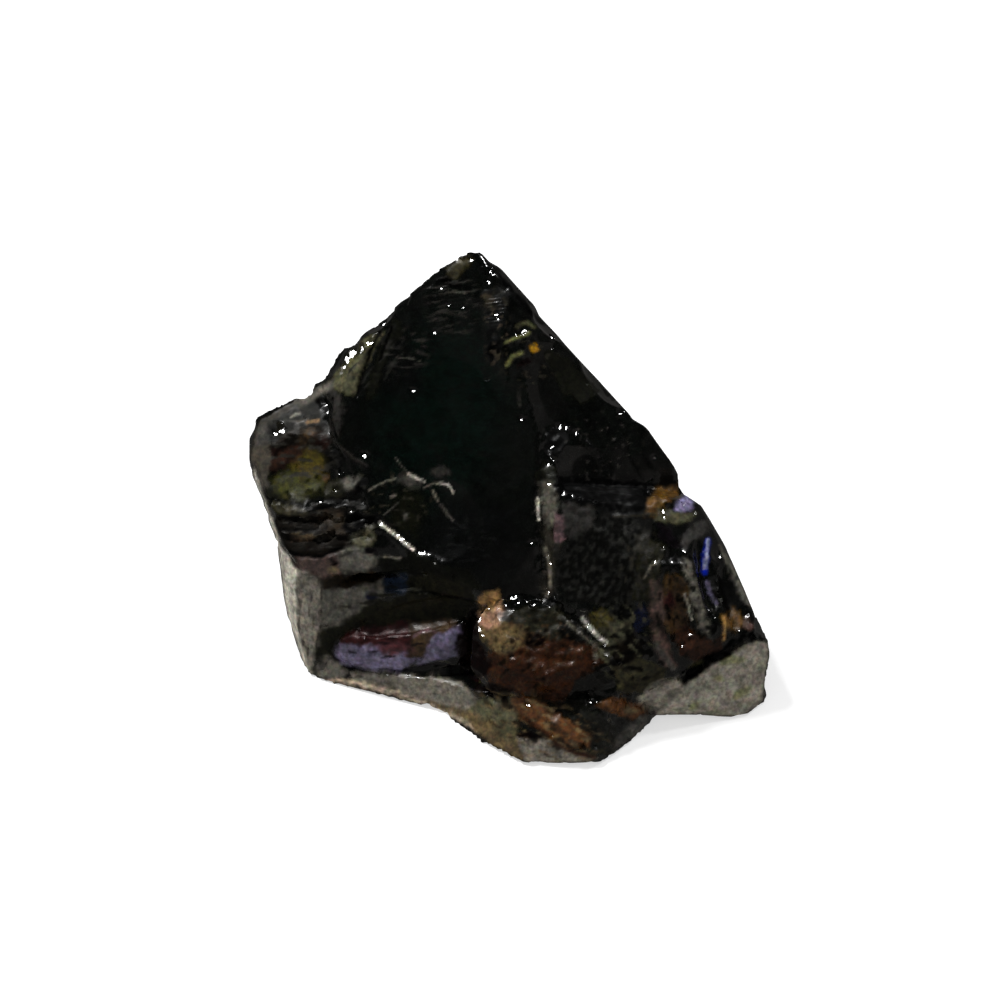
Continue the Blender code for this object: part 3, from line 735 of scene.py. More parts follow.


# Each flat break with a colour of its own, and the breaks marked below with painted floor reflection and
# painted shade: its outline on the front, its colour and its make
FACETS = {
    "peak_olive": (
        ((448, 268), (460, 258), (472, 256), (468, 266), (458, 276), (450, 280)), DIM_OLIVE, 0.5, 0.6,
    ),
    "peak_edge": (
        ((482, 250), (500, 260), (520, 284), (548, 318), (540, 324), (515, 299), (498, 277), (484, 262)),
        PITCH, 0.4, 0.2,
    ),
    "ridge_grey": (
        ((486, 292), (500, 288), (512, 295), (505, 305), (500, 328), (487, 330), (486, 312)),
        SLATE, 0.45, 0.6,
    ),
    "ridge_low": (((485, 328), (500, 330), (502, 350), (495, 365), (486, 350)), SMOKE, 0.45, 0.5),
    "shoulder": (
        ((383, 330), (372, 352), (362, 375), (355, 395), (342, 392), (330, 385), (345, 358), (365, 340)),
        SAGE, 0.5, 0.5,
    ),
    "shoulder_inner": (
        ((395, 318), (405, 330), (388, 352), (376, 395), (366, 398), (376, 360), (385, 335)),
        DARK_OLIVE, 0.45, 0.5,
    ),
    "shoulder_foot": (
        ((330, 385), (340, 395), (345, 410), (337, 438), (330, 425), (333, 405), (328, 392)),
        DIM_GREY, 0.45, 0.4,
    ),
    "right_olive": (
        ((545, 350), (560, 356), (580, 370), (600, 391), (585, 402), (562, 392), (555, 375), (545, 362)),
        DARK_OLIVE, 0.45, 0.5,
    ),
    "arc_top": (((545, 432), (556, 428), (570, 433), (565, 445), (556, 456), (545, 452)), SMOKE, 0.45, 0.5),
    "lobe_top": (
        ((258, 425), (275, 418), (290, 412), (305, 402), (318, 395), (325, 398), (318, 405), (322, 420),
         (330, 430), (300, 426), (285, 434), (268, 441), (260, 460), (254, 450)),
        GRAPHITE, 0.85, 0.5,
    ),
    "lobe_edge": (((296, 402), (328, 383), (334, 388), (318, 397), (300, 407)), MUD, 0.85, 0.4),
    "lobe_back_edge": (
        ((252, 432), (260, 412), (296, 394), (330, 378), (330, 387), (298, 403), (266, 421), (257, 432)),
        TAUPE, 0.85, 0.4,
    ),
    "lobe_rim": (
        ((252, 455), (256, 432), (262, 425), (263, 450), (264, 470), (270, 495), (262, 490), (254, 472)),
        TAUPE, 0.85, 0.5,
    ),
    "lobe_left": (((254, 428), (266, 425), (268, 445), (256, 448)), GREY, 0.6, 0.5),
    "lobe_left_low": (((255, 448), (268, 445), (270, 470), (266, 482), (256, 470)), TAUPE, 0.6, 0.5),
    "lobe_brown": (
        ((282, 432), (300, 425), (320, 427), (332, 437), (330, 450), (305, 453), (285, 450), (270, 446)),
        DARK_BROWN, 0.6, 0.5,
    ),
    "lobe_red": (
        ((270, 448), (285, 450), (298, 448), (296, 460), (285, 468), (270, 468)), RED_BROWN, 0.6, 0.5,
    ),
    "lobe_green": (((322, 452), (338, 450), (346, 460), (342, 470), (330, 468)), SOOT, 0.6, 0.4),
    "lobe_low": (((268, 492), (285, 498), (308, 498), (304, 506), (285, 502), (270, 500)), SOOT, 0.6, 0.5),
    "lobe_grey": (((340, 484), (346, 478), (358, 477), (353, 487), (343, 489)), ASH, 0.6, 0.4),
    "lobe_black": (((354, 487), (358, 479), (367, 480), (366, 490), (358, 492)), PITCH, 0.55, 0.2),
    "lobe_dim": (((326, 486), (338, 480), (345, 492), (340, 500), (326, 498)), MOSS, 0.6, 0.5),
    "strata_brown": (
        ((276, 516), (300, 516), (340, 510), (352, 512), (350, 530), (345, 548), (318, 556), (300, 557),
         (290, 550), (280, 536)),
        DARK_BROWN, 0.6, 0.6,
    ),
    "strata_light": (
        ((269, 502), (286, 503), (300, 508), (306, 514), (290, 515), (274, 510)), DIM_OLIVE, 0.6, 0.5,
    ),
    "strata_middle": (
        ((318, 512), (336, 509), (348, 518), (346, 534), (330, 532), (320, 522)), UMBER, 0.6, 0.6,
    ),
    "strata_patch": (((350, 496), (362, 494), (366, 505), (358, 510), (350, 506)), SOOT, 0.6, 0.5),
    "strata_right": (
        ((344, 512), (360, 514), (378, 516), (376, 528), (355, 530), (344, 526)), PITCH, 0.6, 0.5,
    ),
    "strata_knee": (
        ((350, 538), (358, 532), (374, 528), (375, 540), (364, 546), (352, 544)), GREY_OLIVE, 0.6, 0.5,
    ),
    # painted reflection of the floor: the pale grey of this steep ledge face
    "ledge": (
        ((340, 552), (348, 546), (362, 548), (378, 556), (378, 564), (370, 571), (345, 575), (340, 562)),
        ASH, 0.6, 0.4,
    ),
    # the stone's rose tint together with painted reflection of the floor on the ledge face
    "ledge_left": (
        ((296, 558), (318, 556), (340, 552), (342, 575), (320, 578), (300, 570)), DUSTY_ROSE, 0.6, 0.4,
    ),
    "shelf_dark": (
        ((548, 476), (580, 478), (620, 480), (655, 486), (652, 512), (610, 512), (596, 506), (575, 500),
         (558, 492)),
        PITCH, 0.6, 0.2,
    ),
    "shelf_low": (((598, 506), (612, 514), (655, 514), (655, 522), (615, 524), (598, 518)), SOOT, 0.6, 0.4),
    "under_lip": (
        ((378, 558), (415, 558), (440, 566), (425, 575), (400, 574), (380, 572)), DARK_OLIVE, 0.5, 0.5,
    ),
    "under_lip_olive": (
        ((404, 545), (440, 565), (470, 570), (480, 590), (450, 590), (425, 580), (410, 568)),
        DARK_OLIVE, 0.5, 0.5,
    ),
    # painted shadow under the ledge's overhang
    "overhang_painted_shadow": (
        ((321, 579), (345, 576), (372, 571), (382, 576), (372, 583), (350, 588), (322, 590)),
        UMBER, 0.5, 0.3,
    ),
    # painted reflection of the floor: the grey of this down-turned face
    "steep": (
        ((322, 590), (350, 588), (372, 583), (384, 577), (386, 590), (378, 600), (365, 606), (350, 617),
         (335, 627), (322, 631)),
        ASH, 0.5, 0.5,
    ),
    "blue_patch": (((384, 577), (408, 575), (408, 590), (400, 597), (386, 592)), STEEL, 0.3, 0.3),
    "hollow_brown": (
        ((408, 577), (430, 574), (470, 585), (475, 598), (430, 592), (408, 592)), MOSS, 0.5, 0.4,
    ),
    "hollow": (
        ((350, 617), (365, 606), (400, 597), (430, 592), (475, 600), (467, 618), (430, 620), (400, 622),
         (370, 626), (345, 632), (335, 650), (318, 668), (316, 650), (322, 631), (335, 627)),
        MOSS, 0.5, 0.5,
    ),
    "scar_red": (
        ((345, 632), (370, 626), (410, 622), (412, 640), (405, 657), (385, 654), (360, 651), (338, 648)),
        CRIMSON, 0.5, 0.5,
    ),
    "scar_yellow": (
        ((410, 622), (455, 620), (452, 630), (430, 640), (424, 655), (408, 656), (412, 640)),
        BARK, 0.5, 0.5,
    ),
    "scar_violet": (
        ((340, 643), (360, 646), (385, 649), (405, 655), (416, 660), (410, 668), (400, 670), (365, 668),
         (345, 664), (335, 655)),
        LILAC, 0.5, 0.5,
    ),
    "scar_lilac": (
        ((430, 640), (452, 628), (463, 624), (458, 642), (456, 655), (440, 660), (418, 664), (424, 655)),
        LILAC, 0.5, 0.5,
    ),
    "low_triangle": (
        ((325, 655), (335, 661), (348, 673), (338, 681), (312, 677), (319, 664)), ASH, 0.55, 0.4,
    ),
    # painted reflection of the floor on the down-turned underside strip
    "rim_painted_floor_reflection": (
        ((352, 673), (400, 675), (440, 677), (462, 683), (478, 700), (470, 712), (420, 700), (380, 686),
         (355, 681)),
        PALE_ASH, 0.55, 0.4,
    ),
    # the rim's own pinkish tint together with painted reflection of the floor
    "rim_rose_tint_and_floor_reflection": (
        ((322, 681), (355, 681), (385, 688), (412, 697), (436, 707), (452, 712), (468, 722), (478, 734),
         (466, 728), (448, 716), (430, 709), (405, 698), (375, 690), (345, 685)),
        CREAM, 0.5, 0.3,
    ),
    # painted reflection of the floor on the steep pillar face
    "pillar": (
        ((297, 569), (318, 578), (321, 590), (321, 620), (316, 650), (311, 676), (299, 640), (296, 612),
         (295, 590)),
        PALE_ASH, 0.55, 0.5,
    ),
    # painted reflection of the floor on the steep left side face
    "side_strip_painted_floor_reflection": (
        ((254, 470), (262, 492), (272, 520), (281, 548), (297, 569), (295, 590), (296, 612), (299, 640),
         (309, 675), (300, 662), (291, 642), (285, 620), (282, 590), (278, 560), (269, 525), (259, 495),
         (254, 480)),
        LIMESTONE, 0.55, 0.3,
    ),
    # the toe's own brownish tone together with painted reflection of the floor on this down-turned face
    "toe_tint_and_floor_reflection": (
        ((420, 700), (470, 712), (515, 725), (520, 742), (522, 760), (500, 750), (476, 736), (462, 718),
         (440, 708)),
        BUFF, 0.55, 0.5,
    ),
    "toe_olive": (
        ((478, 699), (500, 698), (514, 701), (519, 712), (516, 726), (490, 722), (470, 712)),
        SAGE, 0.55, 0.5,
    ),
    "toe_dark": (
        ((560, 704), (590, 706), (600, 718), (614, 724), (622, 740), (610, 755), (594, 756), (580, 746),
         (590, 735), (575, 720)),
        GRAPHITE, 0.35, 0.6,
    ),
    "toe_band": (
        ((513, 699), (536, 697), (552, 710), (575, 722), (590, 735), (588, 748), (572, 748), (552, 737),
         (530, 722), (516, 712)),
        BROWN, 0.55, 0.5,
    ),
    # painted reflection of the floor on the down-turned underside of the toe
    "toe_painted_floor_reflection": (
        ((521, 743), (545, 739), (560, 746), (575, 755), (598, 759), (590, 762), (540, 763), (526, 763)),
        PALE_ASH, 0.5, 0.4,
    ),
    "toe_slit": (((518, 735), (528, 732), (541, 736), (536, 740), (522, 739)), PITCH, 0.5, 0.3),
    # painted reflection of the floor on the sliver at the toe's lower right
    "toe_right_painted_floor_reflection": (
        ((650, 712), (641, 730), (626, 742), (612, 749), (620, 735), (630, 722)), GREY, 0.55, 0.4,
    ),
    "toe_rust": (
        ((592, 703), (615, 698), (640, 704), (649, 711), (635, 717), (610, 713)), BROWN, 0.55, 0.6,
    ),
    "knob_body": (
        ((500, 650), (530, 636), (570, 638), (600, 650), (606, 665), (588, 672), (575, 690), (562, 703),
         (540, 698), (510, 691), (490, 682), (484, 666), (490, 655)),
        RUST, 0.4, 1.0,
    ),
    "knob_top": (((520, 610), (560, 610), (570, 625), (560, 640), (530, 640), (515, 625)), MOSS, 0.6, 0.8),
    "knob_cream": (
        ((479, 633), (490, 620), (505, 622), (525, 628), (532, 640), (520, 648), (505, 655), (492, 650),
         (483, 641)),
        BUFF, 0.4, 0.8,
    ),
    "knob_orange": (((478, 612), (500, 606), (506, 612), (496, 626), (482, 626)), PEACH, 0.35, 0.4),
    "knob_gold": (((478, 600), (488, 590), (500, 592), (500, 602), (480, 610)), SAND, 0.35, 0.4),
    "knob_side_red": (((464, 656), (478, 656), (485, 668), (479, 681), (468, 672)), CRIMSON, 0.4, 0.5),
    "knob_crimson_low": (
        ((478, 682), (490, 683), (511, 690), (506, 698), (490, 695), (478, 689)), MAROON, 0.4, 0.5,
    ),
    "dark_arc": (
        ((463, 622), (474, 610), (478, 622), (479, 640), (485, 652), (491, 664), (485, 674), (472, 678),
         (460, 662), (456, 648)),
        MAROON, 0.3, 0.3,
    ),
    "dark_eye": (
        ((576, 680), (590, 672), (606, 676), (602, 690), (595, 706), (580, 713), (568, 712), (558, 703),
         (572, 692)),
        COAL, 0.2, 0.2,
    ),
    "valley_left": (((556, 618), (575, 620), (590, 635), (580, 645), (560, 636)), SOOT, 0.5, 0.6),
    "valley_blue": (((612, 606), (632, 602), (640, 612), (630, 622), (615, 620)), SOOT, 0.45, 0.4),
    "valley_olive": (
        ((590, 612), (602, 607), (612, 616), (610, 628), (598, 630), (588, 620)), OLIVE, 0.5, 0.6,
    ),
    "valley_grey": (
        ((602, 628), (625, 622), (632, 632), (620, 645), (612, 656), (600, 658), (595, 646), (606, 640)),
        GREY_OLIVE, 0.55, 0.6,
    ),
    "valley_shade": (((616, 646), (635, 634), (644, 655), (628, 668), (613, 668)), DARK_BROWN, 0.55, 0.6),
    "valley_low": (
        ((613, 668), (640, 660), (665, 668), (660, 680), (640, 692), (620, 692)), DIM_OLIVE, 0.55, 0.6,
    ),
    "flank_top": (((536, 470), (545, 462), (557, 470), (554, 482), (540, 483)), DARK_OLIVE, 0.5, 0.6),
    # painted reflection: the pale band on the flank
    "flank_painted_reflection": (
        ((540, 481), (553, 482), (557, 500), (556, 520), (549, 530), (542, 520), (541, 500)), ASH, 0.5, 0.6,
    ),
    "flank": (
        ((539, 528), (549, 530), (560, 542), (557, 560), (554, 580), (549, 598), (542, 598), (547, 570),
         (543, 550)),
        MUD, 0.5, 0.6,
    ),
    "flank_rose": (((555, 514), (565, 514), (566, 540), (556, 543)), ROSE, 0.55, 0.4),
    "block": (((561, 502), (590, 507), (596, 525), (590, 540), (576, 545), (566, 530)), DIM_GREY, 0.5, 0.6),
    "foot_dark": (
        ((566, 546), (600, 520), (650, 520), (652, 545), (640, 570), (630, 600), (600, 604), (565, 600),
         (557, 575)),
        COAL, 0.45, 0.9,
    ),
    "foot_olive": (
        ((640, 536), (664, 545), (660, 572), (650, 602), (630, 602), (636, 570)), MOSS, 0.5, 0.8,
    ),
    "end_orange": (
        ((648, 500), (660, 486), (681, 484), (679, 497), (666, 500), (660, 515), (646, 515)),
        OCHRE, 0.45, 0.4,
    ),
    "end_brown": (((660, 470), (672, 470), (680, 484), (660, 486)), DARK_BROWN, 0.45, 0.4),
    "end_lavender": (
        ((677, 502), (690, 495), (697, 501), (693, 508), (681, 512), (674, 509)), LAVENDER, 0.45, 0.2,
    ),
    "end_olive": (
        ((658, 508), (678, 513), (695, 513), (690, 520), (668, 523), (655, 519)), GREY_OLIVE, 0.5, 0.5,
    ),
    "facet_grey": (
        ((680, 536), (695, 523), (708, 519), (711, 529), (700, 536), (684, 551)), DIM_GREY, 0.5, 0.4,
    ),
    "wedge_dark": (((660, 524), (672, 530), (683, 546), (675, 548), (660, 537)), DARK_VIOLET, 0.35, 0.2),
    "rib_inner": (
        ((652, 580), (660, 580), (664, 600), (663, 625), (669, 650), (677, 666), (665, 665), (654, 645),
         (650, 615)),
        DUSTY_ROSE, 0.55, 0.5,
    ),
    "flute_gold": (
        ((668, 574), (684, 577), (689, 600), (686, 616), (678, 592), (664, 590)), HONEY, 0.5, 0.6,
    ),
    "flute_red": (((664, 590), (680, 592), (687, 612), (685, 626), (671, 633), (665, 622)), BARK, 0.5, 0.6),
    # painted reflection of the floor on the raised rib among the flutes
    "rib_painted_floor_reflection": (
        ((682, 558), (691, 564), (697, 585), (707, 620), (711, 637), (703, 631), (692, 602), (684, 582)),
        ASH, 0.5, 0.4,
    ),
    "flute_rust": (
        ((680, 626), (700, 634), (713, 642), (727, 632), (716, 655), (700, 663), (684, 656), (675, 640)),
        RUST, 0.55, 0.6,
    ),
    "flute_green": (((708, 575), (733, 580), (744, 604), (726, 612), (714, 605)), SOOT, 0.5, 0.5),
    "right_rim": (((720, 545), (730, 560), (742, 582), (752, 606), (744, 600), (732, 575)), ASH, 0.55, 0.4),
    "fleck_gold": (((722, 616), (735, 609), (746, 622), (736, 633), (725, 630)), OCHRE, 0.5, 0.8),
    # painted reflection of the floor on the down-turned heel face
    "heel": (
        ((654, 715), (685, 687), (692, 679), (755, 641), (768, 643), (766, 670), (762, 701), (741, 716),
         (700, 714)),
        STONE_GREY, 0.5, 0.6,
    ),
    # painted shade in the crack above the heel, over the crack that carve_heel sinks
    "heel_crack": (
        ((680, 672), (702, 660), (728, 643), (750, 631), (758, 636), (735, 651), (705, 669), (690, 679),
         (681, 681)),
        PITCH, 0.4, 0.2,
    ),
    # painted reflection of the floor on the small face beside the heel
    "heel_corner": (
        ((639, 698), (648, 688), (660, 680), (677, 678), (685, 687), (657, 711), (646, 708)),
        PALE_ASH, 0.55, 0.5,
    ),
}


# Each small tarnished or dusty spot, laid over the facets
SPOTS = {
    "peak_olive_low": ((450, 282), (1.2, 0.5), -10, PITCH, 0.3, 0.4),
    "ridge_warm": ((490, 303), (0.45, 0.7), 0, TAUPE, 0.3, 0.4),
    "ridge_violet": ((502, 350), (1.0, 0.8), 0, PITCH, 0.2, 0.2),
    "orange_fleck": ((534, 348), (0.45, 0.36), 0, AMBER, 0.3, 0.2),
    "right_maroon": ((525, 363), (0.9, 0.4), 30, MAROON, 0.3, 0.3),
    "blue_stain": ((372, 596), (0.5, 0.6), 0, NAVY, 0.3, 0.2),
    "flute_crimson": ((669, 601), (0.5, 0.9), 0, CRIMSON, 0.5, 0.5),
    "scar_crimson": ((394, 649), (1.7, 0.6), -6, WINE, 0.5, 0.4),
    "lobe_gold": ((307, 438), (0.9, 0.65), 0, HONEY, 0.6, 0.4),
    "lobe_moss_left": ((272, 493), (0.9, 0.7), 20, DARK_OLIVE, 0.6, 0.4),
    "lobe_moss": ((298, 484), (2.2, 1.25), 0, GREEN_OLIVE, 0.6, 0.4),
    "lobe_yellow": ((309, 465), (1.5, 1.3), 0, YELLOW_OLIVE, 0.6, 0.4),
    "lobe_rust": ((286, 457), (1.6, 0.6), 25, RUST, 0.6, 0.4),
    "lobe_rust_right": ((319, 441), (1.1, 0.5), 0, RED_BROWN, 0.6, 0.4),
    "lobe_orange": ((325, 478), (0.35, 0.45), 0, HONEY, 0.6, 0.4),
    "lobe_dark_blob": ((321, 401), (0.8, 0.4), 0, PITCH, 0.5, 0.2),
    "lobe_dark_dab": ((324, 409), (0.5, 0.3), 0, PITCH, 0.5, 0.2),
    "strata_pale": ((305, 535), (1.1, 0.25), 0, BUFF, 0.6, 0.5),
    "strata_dark": ((294, 521), (0.7, 0.3), 0, PITCH, 0.6, 0.3),
    "strata_red": ((312, 547), (0.8, 0.25), 0, MAROON, 0.6, 0.3),
    "strata_violet": ((372, 551), (0.7, 0.3), -8, DARK_VIOLET, 0.5, 0.3),
    "ledge_rose": ((312, 566), (0.8, 0.5), 0, DUSTY_ROSE, 0.6, 0.3),
    "ledge_yellow": ((334, 570), (0.7, 0.4), 0, BUFF, 0.6, 0.3),
    "ledge_red": ((335, 562), (0.4, 0.2), 0, MAROON, 0.6, 0.3),
    "hackle_haze": ((410, 482), (0.9, 0.5), -20, GREY, 0.35, 0.4),
    "hackle_olive": ((408, 512), (1.4, 2.2), 0, DARK_OLIVE, 0.35, 0.5),
    "hackle_fan": ((440, 472), (0.9, 0.5), -10, DIM_GREY, 0.35, 0.4),
    "hackle_dab": ((392, 497), (0.35, 0.16), 25, PALE_ASH, 0.35, 0.3),
    "hackle_patch": ((407, 516), (0.3, 0.4), 0, GREY, 0.4, 0.3),
    "knob_green": ((508, 617), (1.2, 0.6), 0, MUD, 0.65, 0.6),
    "knob_crimson": ((535, 640), (0.9, 0.7), 0, MAROON, 0.4, 0.5),
    "toe_green": ((505, 730), (1.2, 0.8), -20, GREY_OLIVE, 0.4, 0.4),
    "toe_orange": ((632, 709), (0.7, 0.3), 0, BUFF, 0.4, 0.4),
    "end_violet": ((647, 492), (0.4, 0.4), 0, PITCH, 0.3, 0.0),
    "flute_blue": ((640, 618), (0.6, 1.2), 0, NAVY, 0.3, 0.2),
    "strata_dull": ((336, 503), (1.3, 0.45), 0, COAL, 0.65, 0.3),
    "flute_head": ((675, 561), (0.9, 0.35), 0, PITCH, 0.65, 0.4),
    "flank_foot": ((550, 602), (0.6, 0.4), 0, PITCH, 0.6, 0.4),
    "lower_main_face": ((475, 540), (4.6, 3.4), 0, SMOKE, 0.26, 0.2),
    "fleck_rose": ((749, 624), (0.5, 0.6), 0, DUSTY_ROSE, 0.35, 0.4),
}


# Dusty flecks over a part of the stone: middle, half length and half width in mm, turn,
# the length and height of a fleck in mm, how much they cover from -1 to 1, colour and make
FLECKS = {
    "foot_dust": ((605, 565), (5.0, 5.2), 0, (0.34, 0.5), 0.1, GRAPHITE, 0.5, 0.5),
    "foot_olive_dust": ((640, 570), (2.2, 4.0), 0, (0.34, 0.6), 0.2, MUD, 0.5, 0.5),
    "upper_dust": ((452, 302), (2.6, 3.2), 10, (1.3, 0.16), 0.25, DIM_GREY, 0.4, 0.3),
    "shoulder_dust": ((375, 355), (3.6, 3.0), 55, (1.0, 0.25), 0.35, GRAPHITE, 0.45, 0.3),
    "face_dust": ((405, 350), (2.4, 2.2), 0, (0.9, 0.3), 0.3, DIM_GREY, 0.4, 0.3),
    "ridge_dust": ((497, 330), (1.2, 3.6), 0, (0.35, 0.35), 0.35, TAUPE, 0.4, 0.3),
    "right_dust": ((530, 360), (2.6, 2.6), 0, (0.5, 0.3), 0.5, MUD, 0.4, 0.3),
    "right_spots": ((600, 450), (4.0, 3.4), 0, (0.4, 0.35), 0.55, DIM_GREY, 0.4, 0.3),
    "hackle_dust": ((395, 500), (3.6, 2.6), 0, (0.5, 0.3), 0.5, MUD, 0.4, 0.3),
    "low_face_dust": ((470, 540), (3.6, 2.2), 0, (0.7, 0.25), 0.5, SLATE, 0.3, 0.3),
    "lobe_shade": ((300, 450), (3.6, 3.4), 0, (0.6, 0.3), 0.25, MUD, 0.6, 0.3),
    "strata_shade": ((325, 530), (4.6, 2.8), 0, (1.2, 0.3), 0.6, DARK_BROWN, 0.6, 0.3),
    "strata_dust": ((330, 530), (4.6, 2.8), 0, (1.0, 0.2), 0.45, MUD, 0.6, 0.3),
    "hollow_dust": ((400, 605), (6.0, 1.8), 0, (1.4, 0.3), 0.3, MOSS, 0.5, 0.3),
    "scar_shade": ((390, 650), (5.0, 1.9), 0, (1.2, 0.35), 0.6, DARK_VIOLET, 0.5, 0.3),
    "knob_dust": ((535, 655), (4.6, 3.8), 0, (0.26, 0.26), 0.4, BARK, 0.45, 0.5),
    "knob_shade": ((540, 660), (4.6, 3.8), 0, (0.6, 0.5), 0.5, DARK_BROWN, 0.4, 0.5),
    "valley_dust": ((620, 640), (3.6, 3.2), -40, (0.7, 0.3), 0.35, GREY_OLIVE, 0.5, 0.4),
    "valley_shade": ((630, 655), (3.6, 3.0), 0, (0.6, 0.4), 0.2, SOOT, 0.5, 0.4),
    "flute_dust": ((690, 610), (4.6, 4.6), -80, (0.6, 0.4), 0.5, DARK_OLIVE, 0.45, 0.4),
    "flute_shade": ((700, 600), (4.6, 4.6), -80, (0.7, 0.4), 0.35, SOOT, 0.45, 0.4),
    "toe_dust": ((540, 728), (6.4, 2.8), -20, (0.8, 0.3), 0.3, BUFF, 0.5, 0.4),
    "toe_shade": ((545, 728), (6.4, 2.8), -20, (0.9, 0.35), 0.45, UMBER, 0.5, 0.4),
    "heel_shade": ((715, 685), (4.4, 2.6), 20, (1.5, 1.0), 0.45, KHAKI, 0.6, 0.5),
    "rim_shade": ((400, 690), (6.6, 1.4), -8, (0.9, 0.3), 0.5, TAUPE, 0.6, 0.4),
    "pillar_shade": ((308, 620), (1.4, 4.4), 0, (0.3, 0.9), 0.35, TAUPE, 0.6, 0.4),
}


